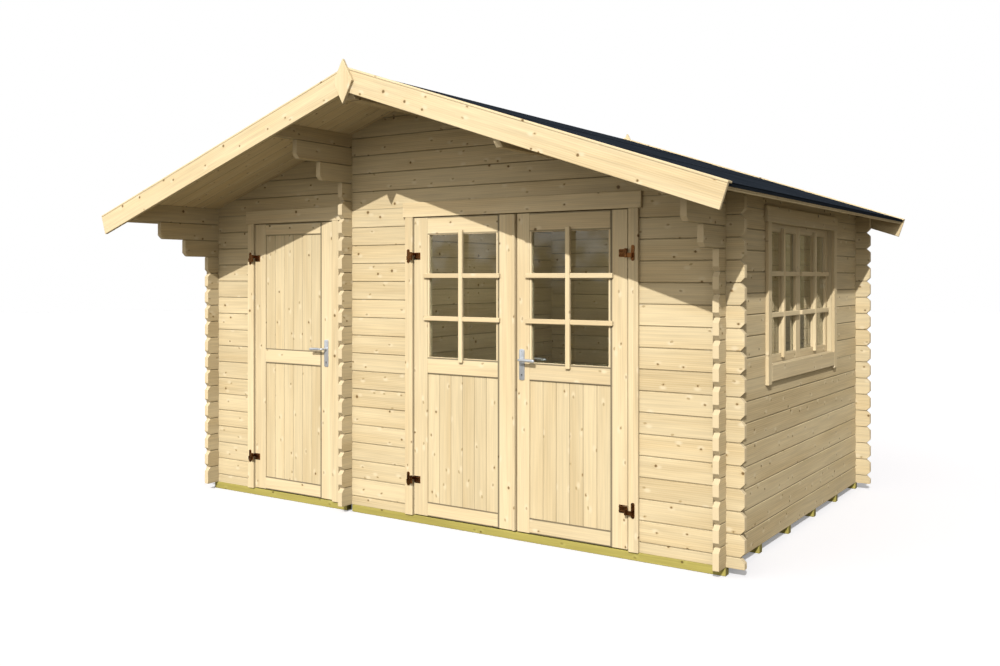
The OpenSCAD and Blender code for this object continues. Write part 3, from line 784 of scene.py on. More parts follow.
@dataclass(frozen=True)
class Wood:
    """Boards set out on one wall, with the finishes of upright and of level ones."""

    facing: Facing
    upright: Finish
    level: Finish

    def post(self, run: Span, depth: Span, height: Span) -> Board:
        """Returns an upright board."""
        return self.facing.board(run, depth, height, self.upright)

    def rail(self, run: Span, depth: Span, height: Span) -> Board:
        """Returns a level board."""
        return self.facing.board(run, depth, height, self.level)

    def ring(self, run: Span, depth: Span, height: Span, wide: Span, gap: float = 0.0,
             inset: float = 0.0) -> list[Board]:
        """Sets out two posts and two rails between them.

        Args:
            run: Outer limits along the wall.
            depth: Limits through the wall.
            height: Outer limits in height.
            wide: Widths of the posts and of the rails.
            gap: Gap between a post and a rail.
            inset: How far the rails stay inside the height.

        Returns:
            The boards.
        """
        (r0, r1), (h0, h1), (post_w, rail_h) = run, height, wide
        between = (r0 + post_w + gap, r1 - post_w - gap)
        return [
            self.post((r0, r0 + post_w), depth, height), self.post((r1 - post_w, r1), depth, height),
            self.rail(between, depth, (h0 + inset, h0 + rail_h)), self.rail(between, depth, (h1 - rail_h, h1 - inset)),
        ]


@dataclass(frozen=True)
class Bars:
    """Glazing bars: flat strips on the outer face with a thinner spine behind them that meets the pane."""

    zs: tuple[float, float]
    width: float = 0.028
    lap: float = 0.020
    cross_set: float = 0.0006

    def boards(self, wood: Wood, run: Span, height: Span, depths: Point, beads: Span) -> list[Board]:
        """Gives the bars of one pane: an upright one and two level ones that it parts.

        Args:
            wood: How the boards are set out.
            run: The opening's limits along the wall.
            height: The opening's limits in height.
            depths: Where the bars' face, their back and the spines' back lie.
            beads: Widths of the beads at the sides and at the ends of the opening.

        Returns:
            The boards.
        """
        (r0, r1), (h0, h1), (side, end) = run, height, beads
        face, back, deep = depths
        half, spine, lap, middle = self.width / 2, self.width / 4, self.lap, (r0 + r1) / 2
        cross_face = face + math.copysign(self.cross_set, back - face)
        bars = [
            wood.post((middle - half, middle + half), (face, back), (h0 - lap, h1 + lap)),
            wood.post((middle - spine, middle + spine), (back, deep), (h0 + end, h1 - end)),
        ]
        for z in self.zs:
            for strip, rib in (((r0 - lap, middle - half), (r0 + side, middle - spine)),
                               ((middle + half, r1 + lap), (middle + spine, r1 - side))):
                bars.append(wood.rail(strip, (cross_face, back), (z - half, z + half)))
                bars.append(wood.rail(rib, (back, deep), (z - spine, z + spine)))
        return bars


@dataclass(frozen=True)
class Casing:
    """Casing boards on a wall's face: two uprights, a head that runs past them, and an apron where there is one."""

    node: str
    wood: Wood
    apron_top: float | None = None
    width: float = 0.058
    head_h: float = 0.090
    head_run: float = 0.018
    apron_h: float = 0.092
    ease: float = 0.003

    def build(self) -> None:
        """Makes the casing board by board."""
        run, depth, (foot, top) = self.wood.facing.spans(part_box(self.node))
        r0, r1, head_z = run[0] + self.head_run, run[1] - self.head_run, top - self.head_h
        sides = (foot, head_z - BOARD_GAP)
        boards = [
            self.wood.post((r0, r0 + self.width), depth, sides), self.wood.post((r1 - self.width, r1), depth, sides),
            self.wood.rail(run, depth, (head_z, top)),
        ]
        if self.apron_top is not None:
            between = (r0 + self.width + BOARD_GAP, r1 - self.width - BOARD_GAP)
            boards.append(self.wood.rail(between, depth, (self.apron_top - self.apron_h, self.apron_top)))
        joinery(f"{self.node}_boards", boards, self.ease, stands_for=[self.node])


@dataclass
class LogWalls:
    """Walls of interlocking logs with eased edges and the grain of their logs."""

    across: tuple[str, ...] = ("front_wall_left", "front_wall_middle", "front_wall_right", "front_gable", "back_wall")
    deep: tuple[str, ...] = ("left_wall", "partition_wall", "right_wall_lower", "right_wall_front",
                             "right_wall_back", "right_wall_upper")
    # The joint line darkens the grooves between the logs: partly their own dark joints, partly painted shade in the
    # grooves.
    joint: float = 0.0036
    ease: float = 0.0016

    def build(self) -> None:
        """Eases the logs' edges and finishes the walls log by log."""
        half_up = FOOT_Z - LOG_H / 2
        across = TimberFinish("spruce_logs_across", Lay.LOG_ACROSS, LOG_H, half_up, seed=3.0, joint=self.joint)
        deep = TimberFinish("spruce_logs_deep", Lay.LOG_DEEP, LOG_H, FOOT_Z, seed=120.0, joint=self.joint)
        for nodes, finish in ((self.across, across), (self.deep, deep)):
            for node in nodes:
                Frame.ease_node(node, f"{node}_eased", finish, self.ease)


@dataclass
class Base:
    """Treated foundation beams and the floor of the two rooms."""

    board_w: float = 0.0955
    gap: float = 0.0006
    wall_gap: float = 0.005
    beam_ease: float = 0.003
    board_ease: float = 0.002

    def build(self) -> None:
        """Makes the beams with eased edges and lays the floors board by board."""
        treated = TimberFinish("treated_beams", Lay.LOG_ACROSS, 0.045, timber=Timber.TREATED, knots=0.3, seed=7.0)
        Frame.ease_node("foundation_beams", "beams_eased", treated, self.beam_ease, Slot.TREATED)
        low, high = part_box("floor_boards")
        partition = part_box("partition_wall")
        finish = TimberFinish("spruce_floor", Lay.BOARD_DEEP, self.board_w, low.x, seed=31.0)
        floors = []
        for x0, x1 in ((low.x, partition[0].x - self.wall_gap), (partition[1].x + self.wall_gap, high.x)):
            count = round((x1 - x0) / self.board_w)
            step = (x1 - x0) / count
            board = Bench.block((x0 + self.gap, low.y, low.z), (x0 + step - self.gap, high.y, high.z))
            Bench.ease(board, self.board_ease, 1)
            floors.append(Frame.paint(Bench.repeat(board, count, (step, 0, 0)), finish))
        Frame.place(Bench.join("floor_laid", floors), Slot.SPRUCE, stands_for=["floor_boards"])


@dataclass
class RoofSlope:
    """One slope of the roof: boards, felt and the nails that hold it."""

    side: int
    word: str
    boards: int = 35
    gap: float = 0.0005
    skin: float = 0.0002
    board_ease: float = 0.0028
    joint: float = 0.0032
    ridge_lap: float = 0.03
    ridge_gap: float = 0.0004
    felt_top: float = 0.012
    felt_edge: float = 0.0315
    felt_in: float = 0.001
    felt_up: float = 0.0006
    felt_t: float = 0.0018
    felt_lift: float = 0.0022
    felt_grid: tuple[int, int] = (14, 60)
    lap: float = 0.08
    lap_edges: Span = (0.80, 1.56)
    nail_pitch: float = 0.11
    nail_up: float = 0.022
    nail_run: float = 0.1
    nail_h: float = 0.0064
    nail_r: float = 0.0055
    nail_t: float = 0.0012
    nail_ease: float = 0.0004

    def build(self) -> None:
        """Makes the slope's pieces."""
        self._boarding()
        Frame.dress(FELT, f"{self.word}_felt")
        self._felt_courses()
        self._nails()

    def _span(self, u0: float, u1: float) -> Span:
        """Gives a stretch down the slope as low and high X before the piece is turned."""
        return (u0, u1) if self.side > 0 else (-u1, -u0)

    def _onto_slope(self, obj: Obj) -> Obj:
        """Lays a flat piece, drawn along X from the ridge line, onto the slope and returns it."""
        obj.rotation_euler = (0.0, self.side * SLOPE, 0.0)
        obj.location = (0.0, 0.0, RIDGE_Z)
        return Bench.settle(obj)

    def _boarding(self) -> None:
        """Makes one bevelled board, cuts it plumb at the ridge, and repeats it along the roof."""
        step = (ROOF_BACK - ROOF_FRONT) / self.boards
        x0, x1 = self._span(-self.ridge_lap, EAVE_U)
        board = Bench.block((x0, ROOF_FRONT + self.gap, self.skin),
                            (x1, ROOF_FRONT + step - self.gap, ROOF_T - self.skin))
        self._onto_slope(Bench.ease(board, self.board_ease, 1))
        Bench.edit(board, lambda: bpy.ops.mesh.bisect(
            plane_co=(self.ridge_gap * self.side, 0, 0), plane_no=(self.side, 0, 0), use_fill=True, clear_inner=True))
        Bench.repeat(board, self.boards, (0, step, 0))
        # The paler ROOF tone is painted light for the soffit in shade.
        Frame.paint(board, TimberFinish("spruce_roof_boards_painted_light", Lay.ROOF_BOARD, step, ROOF_FRONT, Timber.ROOF,
                                        knots=0.3, seed=60.0, joint=self.joint))
        Bench.name(board, f"{self.word}_roof_boarding")
        Frame.place(board, Slot.SPRUCE, stands_for=[f"{self.word}_roof_boards"])

    def _felt_courses(self) -> None:
        """Lays courses of felt from the ridge down, each with its lower edge lifted over the next one."""
        top = ROOF_T + FELT_T + self.felt_up
        y0, y1 = ROOF_FRONT + self.felt_edge, ROOF_BACK - self.felt_edge
        edges = [self.felt_top, *self.lap_edges, EAVE_U + FELT_T - self.felt_in]
        courses = []
        for upper, lower in zip(edges[:-1], edges[1:]):
            x0, x1 = self._span(max(self.felt_top, upper - self.lap), lower)
            down, along = self.felt_grid
            course = Bench.primitive(bpy.ops.mesh.primitive_grid_add, (x1 - x0, y1 - y0, 1.0), x_subdivisions=down,
                                     y_subdivisions=along, size=1.0, location=((x0 + x1) / 2, (y0 + y1) / 2, top))
            lean = math.atan(self.felt_lift / (x1 - x0)) * self.side
            upper_edge = (x0 if self.side > 0 else x1, 0.0, top)
            Bench.edit(course, lambda: bpy.ops.transform.rotate(
                value=lean, orient_axis="Y", center_override=upper_edge))
            Bench.apply(course, "SOLIDIFY", thickness=self.felt_t, offset=1.0)
            courses.append(self._onto_slope(course))
        felt = Bench.smooth(Frame.paint(Bench.join(f"{self.word}_felt_courses", courses), FELT))
        Frame.place(felt, Slot.FELT)

    def _nails(self) -> None:
        """Drives flat-headed nails along the laps and the eave."""
        count = int((ROOF_BACK - ROOF_FRONT - 2 * self.nail_run) / self.nail_pitch)
        rows = []
        for u in (*self.lap_edges, EAVE_U):
            place = (self.side * (u - self.nail_up), ROOF_FRONT + self.nail_run, ROOF_T + FELT_T + self.nail_h)
            nail = Bench.ease(Bench.disc(place, self.nail_r, self.nail_t, 10, 0.0), self.nail_ease, 1)
            rows.append(self._onto_slope(Bench.repeat(nail, count, (0, self.nail_pitch, 0))))
        Frame.place(Frame.paint(Bench.join(f"{self.word}_felt_nails", rows), NAIL), Slot.STEEL)


@dataclass
class RoofTrim:
    """Purlins, eave laths, bargeboards with their strips and a line of painted shade under the strips, and finials,
    with eased edges.
    """

    ease: float = 0.003
    # The line is painted shade: a thin dark line along the bargeboards, a little below the felt's top, under the
    # strips.
    line: float = 0.0030
    strip_shade_up: float = -0.0009

    def build(self) -> None:
        """Makes each piece from its CAD node."""
        barge = TimberFinish("spruce_bargeboards_shade_line", Lay.BARGE, 0.4, ROOF_T + FELT_T + self.strip_shade_up, Timber.TRIM, 1.0,
                             0.85, 75.0, self.line)
        strip = TimberFinish("spruce_strips", Lay.BARGE, 0.4, -0.3, Timber.TRIM, 0.5, 0.4, 90.0)
        purlin = TimberFinish("spruce_purlins", Lay.LOG_DEEP, 0.5, seed=210.0)
        lath = TimberFinish("spruce_laths", Lay.EAVE, 0.4, seed=230.0)
        finial = TimberFinish("spruce_finials", Lay.UPRIGHT_FRONT, 0.4, -0.2, Timber.TRIM, 0.4, 0.25, 250.0)
        for node, finish in (
            ("front_bargeboards", barge), ("back_bargeboards", barge), ("barge_strips", strip),
            ("ridge_purlin", purlin), ("right_purlin", purlin), ("eave_laths", lath), ("finials", finial),
        ):
            Frame.ease_node(node, f"{node}_eased", finish, self.ease)


@dataclass
class DoorFrames:
    """Frames in the wall and casing boards on its face, round the doors."""

    seeds: tuple[tuple[str, float], ...] = (("single", 320.0), ("double", 340.0))

    def build(self) -> None:
        """Finishes the frames and makes the casings."""
        jambs = TimberFinish("spruce_jambs", Lay.UPRIGHT_FRONT, 0.7, seed=300.0)
        Frame.dress(jambs, "single_door_frame", "double_door_frame")
        for door, seed in self.seeds:
            upright = TimberFinish(f"spruce_{door}_casing", Lay.UPRIGHT_FRONT, 0.35, timber=Timber.TRIM, knots=0.5,
                                   seed=seed)
            level = TimberFinish(f"spruce_{door}_head", Lay.LOG_ACROSS, 0.5, timber=Timber.TRIM, knots=0.5,
                                 seed=seed + 9)
            Casing(f"{door}_door_casing", Wood(Facing.FRONT, upright, level)).build()


@dataclass
class DoorLeaf:
    """A door leaf: stiles and rails with lines of painted shade along their edges, boarded panels, and glazing where
    it has any.
    """

    word: str
    body: str
    glazed: bool
    seed: float
    glazed_top: float = 0.102
    boarded_top: float = 0.078
    bottom_h: float = 0.085
    rail_z: float = 0.862
    rail_h: float = 0.098
    beads: Span = (0.012, 0.004)
    bead_depths: Span = (0.003, 0.036)
    bar_t: float = 0.019
    bars: Bars = Bars((1.251, 1.507))
    panels: int = 6
    joint: float = 0.0026
    ease: float = 0.0022
    bead_ease: float = 0.0015
    bar_ease: float = 0.004
    # Painted shade: dark lines along the inner edges of the stiles and along both edges of each rail, widest and
    # darkest on the far stile, where they stand for its shadow on the sunk panel.
    edge_shade_line: float = 0.0085
    far_shade_line: float = 0.0160
    near_shade_tone: float = 1.0
    top_rail_shade_tone: float = 0.52
    far_shade_tone: float = 0.30

    def build(self) -> None:
        """Makes the leaf's woodwork and dresses its panels and glass."""
        low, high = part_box(f"{self.word}_leaf")
        panel_node = f"{self.word}_panel" if self.glazed else f"{self.word}_panels"
        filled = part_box(panel_node)
        x0, x1 = filled[0].x - BOARD_GAP, filled[1].x + BOARD_GAP
        depth, height = (low.y, high.y), (low.z, high.z)
        # Each stile and rail gets its line of painted shade from its finish.
        stiles = [
            self._finish_with_painted_shade(f"{side}_stile", Lay.UPRIGHT_FRONT, (x0, x1), self.seed, line, tone)
            for side, line, tone in (("left", self.edge_shade_line, self.near_shade_tone), ("right", self.far_shade_line, self.far_shade_tone))
        ]
        boards = [Facing.FRONT.board(run, depth, height, finish)
                  for run, finish in zip(((low.x, x0), (x1, high.x)), stiles)]
        lock_z, top_h = low.z + self.rail_z, self.glazed_top if self.glazed else self.boarded_top
        foot, lock, top = (low.z, low.z + self.bottom_h), (lock_z, lock_z + self.rail_h), (high.z - top_h, high.z)
        for rail, place, tone in ((foot, "foot", self.far_shade_tone), (lock, "lock", self.far_shade_tone),
                                  (top, "top", self.top_rail_shade_tone)):
            finish = self._finish_with_painted_shade(f"{place}_rail", Lay.LOG_ACROSS, rail, self.seed + 5, self.edge_shade_line, tone)
            boards.append(Facing.FRONT.board((x0 + BOARD_GAP, x1 - BOARD_GAP), depth, rail, finish))
        joinery(f"{self.word}_leaf_joinery", boards, self.ease, self.body, [f"{self.word}_leaf"])
        pitch = (x1 - x0 - 2 * BOARD_GAP) / self.panels
        panel = TimberFinish(f"spruce_{self.word}_panel", Lay.UPRIGHT_FRONT, pitch, x0 + BOARD_GAP, streaks=0.45,
                             seed=self.seed + 11, joint=self.joint)
        Frame.dress(panel, panel_node)
        if self.glazed:
            Frame.dress(GLASS, f"{self.word}_glass")
            level = TimberFinish(f"spruce_{self.word}_bars", Lay.LOG_ACROSS, 0.45, low.z, Timber.TRIM, 0.5, 0.5,
                                 self.seed + 5)
            self._glazing(Wood(Facing.FRONT, stiles[0], level), (x0, x1), (lock[1], top[0]), low.y)

    def _finish_with_painted_shade(self, place: str, lay: Lay, limits: Span, seed: float, line: float, tone: float) -> TimberFinish:
        """Gives the finish of a stile or a rail, with a dark line of painted shade along its edges; on the far stile
        it stands for that stile's shadow on the sunk panel.

        Args:
            place: The board's place in the leaf.
            lay: How its grain lies.
            limits: The edges that the line follows.
            seed: Number that sets its figure.
            line: Width of the painted shade line.
            tone: Brightness of the painted shade line.

        Returns:
            The finish.
        """
        start, end = limits
        return TimberFinish(f"spruce_{self.word}_{place}", lay, end - start, start, Timber.TRIM, 0.5, 0.5, seed, line,
                            tone)

    def _glazing(self, wood: Wood, run: Span, height: Span, face: float) -> None:
        """Makes the beads round the pane and the bars across it.

        Args:
            wood: How the boards are set out.
            run: The opening's limits across.
            height: The opening's limits in height.
            face: Outer face of the leaf.
        """
        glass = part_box(f"{self.word}_glass")
        inside = (run[0] + GLASS_GAP, run[1] - GLASS_GAP)
        wide = (self.beads[0] - GLASS_GAP, self.beads[1])
        outer, inner = self.bead_depths
        beads = []
        for depth in ((face + outer, glass[0].y - GLASS_GAP), (glass[1].y + GLASS_GAP, face + inner)):
            beads += wood.ring(inside, depth, height, wide, inset=GLASS_GAP)
        joinery(f"{self.word}_glazing_beads", beads, self.bead_ease, self.body)
        depths = (face - self.bar_t, face - GLASS_GAP, glass[0].y - 2 * GLASS_GAP)
        bars = self.bars.boards(wood, run, height, depths, self.beads)
        joinery(f"{self.word}_glazing_bars", bars, self.bar_ease, self.body)


@dataclass
class MeetingStrip:
    """The strip on the left leaf, along its edge to the right leaf."""

    ease: float = 0.003

    def build(self) -> None:
        """Makes the strip with eased edges."""
        low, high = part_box("meeting_strip")
        finish = TimberFinish("spruce_meeting_strip", Lay.UPRIGHT_FRONT, 0.4, timber=Timber.TRIM, seed=480.0)
        joinery("meeting_strip_eased", [Board(tuple(low), tuple(high), finish)], self.ease, "left_door",
                ["meeting_strip"])


@dataclass
class Window:
    """The two-sash window in the right wall with its lining, casing, sashes and bars."""

    sash_w: float = 0.042
    bead_w: float = 0.004
    bead_depths: Span = (0.004, 0.036)
    bar_t: float = 0.019
    bars: Bars = Bars((1.285, 1.518))
    ease: float = 0.0025
    bead_ease: float = 0.004

    def build(self) -> None:
        """Makes the window's woodwork and dresses its glass."""
        Frame.dress(TimberFinish("spruce_window_lining", Lay.UPRIGHT_SIDE, 0.9, seed=500.0), "window_lining")
        Frame.dress(GLASS, "window_glass")
        wood = Wood(
            Facing.SIDE,
            TimberFinish("spruce_window_uprights", Lay.UPRIGHT_SIDE, 0.31, -0.4, Timber.TRIM, 0.5, 0.45, 520.0),
            TimberFinish("spruce_window_rails", Lay.LOG_DEEP, 0.29, 0.1, Timber.TRIM, 0.5, 0.45, 540.0),
        )
        (front, back), depth, height = wood.facing.spans(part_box("window_sashes"))
        Casing("window_casing", wood, height[0] - BOARD_GAP).build()
        glass, face, middle, w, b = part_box("window_glass"), depth[1], (front + back) / 2, self.sash_w, self.bead_w
        outer, inner = self.bead_depths
        opening = (height[0] + w, height[1] - w)
        pane = (opening[0] + GLASS_GAP, opening[1] - GLASS_GAP)
        bar_depths = (face + self.bar_t, face + GLASS_GAP, glass[1].x + 2 * GLASS_GAP)
        sashes, beads, bars = [], [], []
        for y0, y1 in ((front, middle - BOARD_GAP), (middle + BOARD_GAP, back)):
            sashes += wood.ring((y0, y1), depth, height, (w, w), BOARD_GAP)
            for bead_depth in ((glass[1].x + GLASS_GAP, face - outer), (face - inner, glass[0].x - GLASS_GAP)):
                beads += wood.ring((y0 + w + GLASS_GAP, y1 - w - GLASS_GAP), bead_depth, pane, (b, b))
            bars += self.bars.boards(wood, (y0 + w, y1 - w), opening, bar_depths, (b, b))
        joinery("window_sash_joinery", sashes, self.ease, stands_for=["window_sashes"])
        joinery("window_glazing_beads", beads, self.bead_ease)
        joinery("window_glazing_bars", bars, self.ease)


@dataclass
class LeverSet:
    """A lever handle on both faces of a leaf, with its plates, screws and keyhole."""

    node: str
    plate_node: str
    door_body: str
    lever_body: str
    point: int
    plate_t: float = 0.005
    plate_ease: float = 0.0012
    corner_r: float = 0.010
    boss_r: float = 0.0125
    boss_t: float = 0.004
    boss_out: float = 0.0005
    screw_r: float = 0.0042
    screw_t: float = 0.0022
    screw_in: float = 0.014
    screw_slit: Point = (0.0034, 0.0002, 0.0005)
    slit_ease: float = 0.0001
    key_drop: float = 0.058
    key_t: float = 0.0008
    key_slit: Point = (0.0018, 0.0004, 0.0075)
    key_ease: float = 0.0003
    neck_gap: float = 0.0005
    grip_r: float = 0.0068
    bend_r: float = 0.013
    bend_steps: int = 6
    tip_in: float = 0.004
    tip_l: float = 0.003
    tip_share: float = 0.72
    grip: tuple[Point, ...] = ((0.25, 1.36, 0.0), (0.55, 1.0, -0.0012), (0.20, 0.96, -0.0012))

    def build(self) -> None:
        """Makes the plates and the handles."""
        low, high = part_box(self.node)
        spindle_z = (low.z + high.z) / 2
        self._plates(spindle_z)
        plate_low, plate_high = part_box(self.plate_node)
        x, end_x = (plate_low.x + plate_high.x) / 2, low.x if self.point < 0 else high.x
        handles = [
            self._handle((x, plate_low.y - self.neck_gap, spindle_z), low.y + self.grip_r, end_x),
            self._handle((x, plate_high.y + self.neck_gap, spindle_z), high.y - self.grip_r, end_x),
        ]
        lever = Bench.smooth(Frame.paint(Bench.join(f"{self.node}_shaped", handles), STEEL), 50.0)
        Frame.place(lever, Slot.STEEL, self.lever_body, [self.node])

    def _plates(self, spindle_z: float) -> None:
        """Makes rounded plates with a boss, two screws and a keyhole on each face.

        Args:
            spindle_z: Height of the spindle.
        """
        low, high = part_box(self.plate_node)
        x = (low.x + high.x) / 2
        key_z = (low.z + high.z) / 2 - self.key_drop
        parts = []
        for face, out in ((low.y, -1.0), (high.y, 1.0)):
            y0, y1 = sorted((face, face - out * self.plate_t))
            plate = self._round_corners(Bench.block((low.x, y0, low.z), (high.x, y1, high.z)))
            parts.append(Frame.paint(Bench.ease(plate, self.plate_ease), STEEL))
            for z in (low.z + self.screw_in, high.z - self.screw_in):
                parts.append(self._disc((x, face, z), self.screw_r, self.screw_t, STEEL))
                parts.append(self._slit((x, face + out * self.screw_t / 2, z), self.screw_slit, self.slit_ease))
            parts.append(self._disc((x, face + out * self.boss_out, spindle_z), self.boss_r, self.boss_t, STEEL))
            # The keyhole is made of two pieces of painted shade.
            parts.append(self._disc((x, face, key_z), self.screw_r, self.key_t, SHADOW))
            parts.append(self._slit((x, face, key_z - self.key_slit[2]), self.key_slit, self.key_ease))
        plates = Bench.smooth(Bench.join(f"{self.plate_node}_shaped", parts))
        Frame.place(plates, Slot.STEEL, self.door_body, [self.plate_node])

    def _round_corners(self, plate: Obj) -> Obj:
        """Rounds the four corners of a plate, seen from its face, and returns it."""
        Bench.edit(plate, lambda: bpy.ops.mesh.select_mode(type="EDGE"),
                   lambda: bpy.ops.mesh.select_all(action="DESELECT"))
        for edge in plate.data.edges:
            a, b = (plate.data.vertices[i].co for i in edge.vertices)
            edge.select = abs(a.y - b.y) > self.plate_t / 2
        bpy.ops.object.mode_set(mode="EDIT")
        bpy.ops.mesh.bevel(offset=self.corner_r, segments=6, affect="EDGES")
        bpy.ops.object.mode_set(mode="OBJECT")
        return plate

    @staticmethod
    def _disc(place: Point, radius: float, depth: float, finish: Finish) -> Obj:
        """Makes a flat disc with a rounded rim that faces along Y, and returns it."""
        return Frame.paint(Bench.ease(Bench.disc(place, radius, depth, 24), depth * 0.3), finish)

    @staticmethod
    def _slit(middle: Point, half: Point, ease: float) -> Obj:
        """Makes a slit of painted shade, near black, from its middle and half its size, and returns it."""
        low, high = ([m + way * h for m, h in zip(middle, half)] for way in (-1, 1))
        return Frame.paint(Bench.ease(Bench.block(low, high), ease, 1), SHADOW)

    def _handle(self, start: Point, grip_y: float, end_x: float) -> Obj:
        """Makes one handle by drawing a round section out of the plate, round a bend and along the grip.

        Args:
            start: Where the neck leaves the plate.
            grip_y: Middle of the grip in depth.
            end_x: Tip of the grip.

        Returns:
            The handle.
        """
        x, y, z = start
        out = math.copysign(1.0, grip_y - y)
        neck = abs(grip_y - y) - self.bend_r
        straight = abs(end_x - x) - self.bend_r - self.tip_in
        centre = Vector((x + self.point * self.bend_r, y + out * neck, z))
        turn = QUARTER / self.bend_steps
        spokes = [Vector((-self.point * math.cos(k * turn), out * math.sin(k * turn), 0)) * self.bend_r
                  for k in range(self.bend_steps + 1)]

        def pull(step: Sequence[float]) -> None:
            """Draws the section on by a step."""
            bpy.ops.mesh.extrude_region_move(TRANSFORM_OT_translate={"value": tuple(step)})

        def draw() -> None:
            """Draws the neck, the bend, the grip and its rounded tip."""
            pull((0, out * neck, 0))
            for before, after in zip(spokes, spokes[1:]):
                pull(after - before)
                bpy.ops.transform.rotate(value=self.point * out * turn, orient_axis="Z",
                                         center_override=tuple(centre + after))
            for share, tall, drop in self.grip:
                pull((self.point * straight * share, 0, drop))
                bpy.ops.transform.resize(value=(1, 1, tall), center_override=(0, grip_y, z + drop))
            pull((self.point * self.tip_l, 0, 0))
            low_z = z + sum(drop for *_, drop in self.grip)
            bpy.ops.transform.resize(value=(1, self.tip_share, self.tip_share), center_override=(0, grip_y, low_z))
            bpy.ops.mesh.select_all(action="SELECT")
            bpy.ops.mesh.normals_make_consistent(inside=False)

        section = Bench.primitive(bpy.ops.mesh.primitive_circle_add, vertices=20, radius=self.grip_r,
                                  fill_type="NGON", location=start, rotation=(QUARTER, 0, 0))
        return Bench.edit(section, draw)


@dataclass
class Hinges:
    """Hinges of the doors: CAD plates and straps in bronze, with screw heads added."""

    screw_r: float = 0.0036
    screw_t: float = 0.0018
    plate_w: float = 0.020
    plate_out: float = 0.037
    metal_t: float = 0.004
    plate_screws: Span = (-0.030, 0.030)
    strap_screws: Span = (0.021, 0.039)
    strap_ends: Span = (0.021, 0.024)
    dome: float = 0.0007

    def build(self) -> None:
        """Dresses the hinges and drives their screws."""
        Frame.dress(BRONZE, "hinge_pins", "single_straps", "left_straps", "right_straps")
        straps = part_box("left_straps")
        zs = (straps[0].z + self.strap_ends[0], straps[1].z - self.strap_ends[1])
        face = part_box("single_door_casing")[0].y
        low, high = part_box("hinge_pins")
        plates = (low.x + self.plate_w / 2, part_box("left_leaf")[0].x - self.plate_out, high.x - self.plate_w / 2)
        fixed = [self._head(x, face, z + dz) for x in plates for z in zs for dz in self.plate_screws]
        Frame.place(Bench.smooth(Bench.join("hinge_plate_screws", fixed)), Slot.BRONZE)
        for word, body, side in (("single", "store_door", 1), ("left", "left_door", 1), ("right", "right_door", -1)):
            low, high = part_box(f"{word}_leaf")
            edge = low.x if side > 0 else high.x
            heads = [self._head(edge + side * dx, low.y, z) for z in zs for dx in self.strap_screws]
            Frame.place(Bench.smooth(Bench.join(f"{word}_strap_screws", heads)), Slot.BRONZE, body)

    def _head(self, x: float, wood_y: float, z: float) -> Obj:
        """Makes a domed screw head on the metal in front of a wooden face, and returns it."""
        place = (x, wood_y - self.metal_t - self.dome, z)
        return Frame.paint(Bench.ease(Bench.disc(place, self.screw_r, self.screw_t, 12), self.dome), BRONZE)


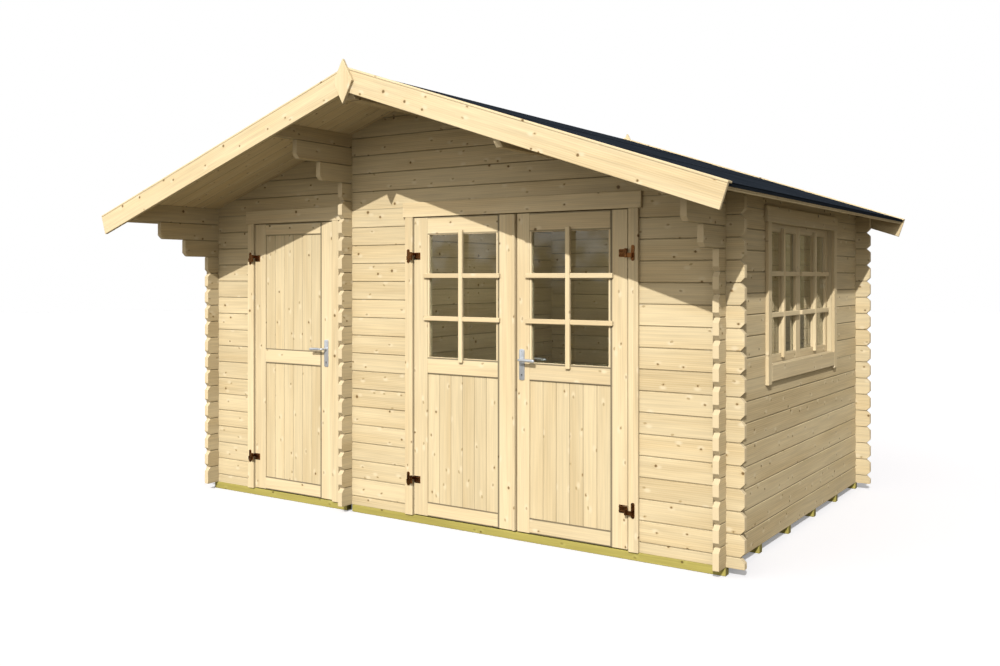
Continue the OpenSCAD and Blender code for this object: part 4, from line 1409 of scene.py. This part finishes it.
@dataclass
class Studio:
    """Pale floor, soft light and the camera at the photograph's viewing angle."""

    eye: Point = (3.7439, -5.7704, 1.4983)
    turn: float = 0.5906
    lens: float = 35.91
    sensor: float = 36.0
    sight: float = 200.0
    shift: float = -0.0558
    sun_path: Point = (-0.274, 0.740, -0.500)
    sun_strength: float = 3.27
    sun_tint: Point = (1.0, 0.975, 0.92)
    sun_width: float = math.radians(0.55)
    fill: float = 0.186
    front_fill: float = 1.08
    fill_tint: Colour = (1.0, 0.95, 0.86, 1)
    back_fill: float = 0.34
    floor_r: float = 40.0
    floor_z: float = -0.001
    floor_rough: float = 0.9
    floor_seen: Colour = (0.88, 0.89, 0.96, 1)
    floor_bounce: Colour = (0.195, 0.178, 0.142, 1)
    floor_glow: float = 0.24
    room_lamp: float = 13.0
    lamp_place: Point = (0.6, 0.2, 1.7)
    lamp_r: float = 0.3
    lamp_tint: Point = (1.0, 0.93, 0.80)
    horizon: Colour = (0.24, 0.20, 0.11, 1)
    sky: Colour = (1.0, 1.04, 1.06, 1)
    skyline_soft: float = 0.06
    skyline_rise: float = 0.18
    skyline_behind: float = 0.45
    skyline_grain: float = 55.0

    def build(self) -> None:
        """Sets the stage."""
        self._floor()
        self._lamps()
        self._surround()
        self._camera()

    @staticmethod
    def _link(name: str, data: bpy.types.ID) -> Obj:
        """Puts a lamp or a camera into the scene and returns its object."""
        obj = bpy.data.objects.new(name, data)
        bpy.context.scene.collection.objects.link(obj)
        return obj

    def _floor(self) -> None:
        """Lays a wide pale floor."""
        floor = Bench.primitive(bpy.ops.mesh.primitive_circle_add, vertices=96, radius=self.floor_r,
                                fill_type="NGON", location=(0, 0, self.floor_z))
        material, d, shader = start_material("pale_floor")
        seen = d.add("LightPath")["Is Camera Ray"]
        d.feed_all(shader, {
            "Base Color": d.mix(seen, self.floor_bounce, self.floor_seen),
            "Emission Color": d.mix(seen, BLACK, WHITE),
            "Emission Strength": self.floor_glow,
            "Roughness": self.floor_rough,
            "Specular IOR Level": 0.0,
        })
        floor.data.materials.append(material)
        Bench.name(floor, "studio_floor")

    def _lamps(self) -> None:
        """Adds a soft sun, and a lamp in the main room that no ray sees directly."""
        sun = bpy.data.lights.new("key_light", "SUN")
        sun.energy = self.sun_strength
        sun.angle = self.sun_width
        sun.color = self.sun_tint
        self._link("key_light", sun).rotation_euler = Vector(self.sun_path).to_track_quat("-Z", "Y").to_euler()
        room = bpy.data.lights.new("room_light", "POINT")
        room.energy = self.room_lamp
        room.color = self.lamp_tint
        room.shadow_soft_size = self.lamp_r
        bulb = self._link("room_light", room)
        bulb.location = self.lamp_place
        bulb.visible_glossy = False
        bulb.visible_transmission = False
        bulb.visible_camera = False

    def _surround(self) -> None:
        """Adds a pale surround that is brightest in front."""
        world = bpy.data.worlds.new("pale_surround")
        world.use_nodes = True
        d = NodeDraft(world.node_tree)
        path = d.add("LightPath")
        ray = d.add("TexCoord")["Generated"]
        depth = d.separate(ray)["Y"]
        seen = d.mix(path["Is Diffuse Ray"], WHITE, self.fill_tint)
        fill = d.ramp(depth, -1.0, 0.0, self.front_fill, self.fill) + d.ramp(depth, 0.4, 1.0, 0.0, self.back_fill)
        plain = d.math("MAXIMUM", path["Is Camera Ray"], path["Is Glossy Ray"])
        d.feed_all(next(n for n in world.node_tree.nodes if n.type == "BACKGROUND"), {
            "Color": d.mix(path["Is Glossy Ray"], seen, self._mirrored(d, ray)),
            "Strength": d.math("MAXIMUM", fill, plain),
        })
        bpy.context.scene.world = world
        bpy.context.scene.view_settings.view_transform = "Standard"

    def _mirrored(self, d: NodeDraft, ray: Wire) -> Wire:
        """Gives what glass and metal mirror: a pale sky over an uneven dark horizon.

        Args:
            d: The draft of the surround's tree.
            ray: The way to the surround.

        Returns:
            The colour.
        """
        uneven = (d.noise(ray, self.skyline_grain, 4.0) - 0.5) * self.skyline_rise
        way = d.separate(ray)
        height = way["Z"] - d.ramp(way["Y"], 0.0, 0.5, 0.0, self.skyline_behind) - uneven
        return d.mix(d.ramp(height, 0.0, self.skyline_soft), self.horizon, self.sky)

    def _camera(self) -> None:
        """Places the camera."""
        data = bpy.data.cameras.new("photo_view")
        data.lens = self.lens
        data.sensor_width = self.sensor
        data.shift_y = self.shift
        data.clip_end = self.sight
        camera = self._link("photo_view", data)
        camera.location = self.eye
        camera.rotation_euler = (QUARTER, 0.0, self.turn)
        bpy.context.scene.camera = camera


def main() -> None:
    """Loads the frame and builds the pieces in order."""
    logging.basicConfig(level=logging.INFO, format="%(name)s: %(message)s")
    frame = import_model()
    Frame.nodes = frame["nodes"]
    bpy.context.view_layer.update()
    for piece in (
        Studio(),
        LogWalls(),
        Base(),
        RoofSlope(-1, "left"),
        RoofSlope(1, "right"),
        RoofTrim(),
        DoorFrames(),
        DoorLeaf("single", "store_door", False, 400.0),
        DoorLeaf("left", "left_door", True, 430.0),
        DoorLeaf("right", "right_door", True, 460.0),
        MeetingStrip(),
        Window(),
        LeverSet("single_lever", "single_lever_plate", "store_door", "store_lever", -1),
        LeverSet("right_lever", "right_lever_plate", "right_door", "main_lever", 1),
        Hinges(),
    ):
        piece.build()
    bpy.ops.object.select_all(action="DESELECT")


if __name__ == "__main__":
    main()
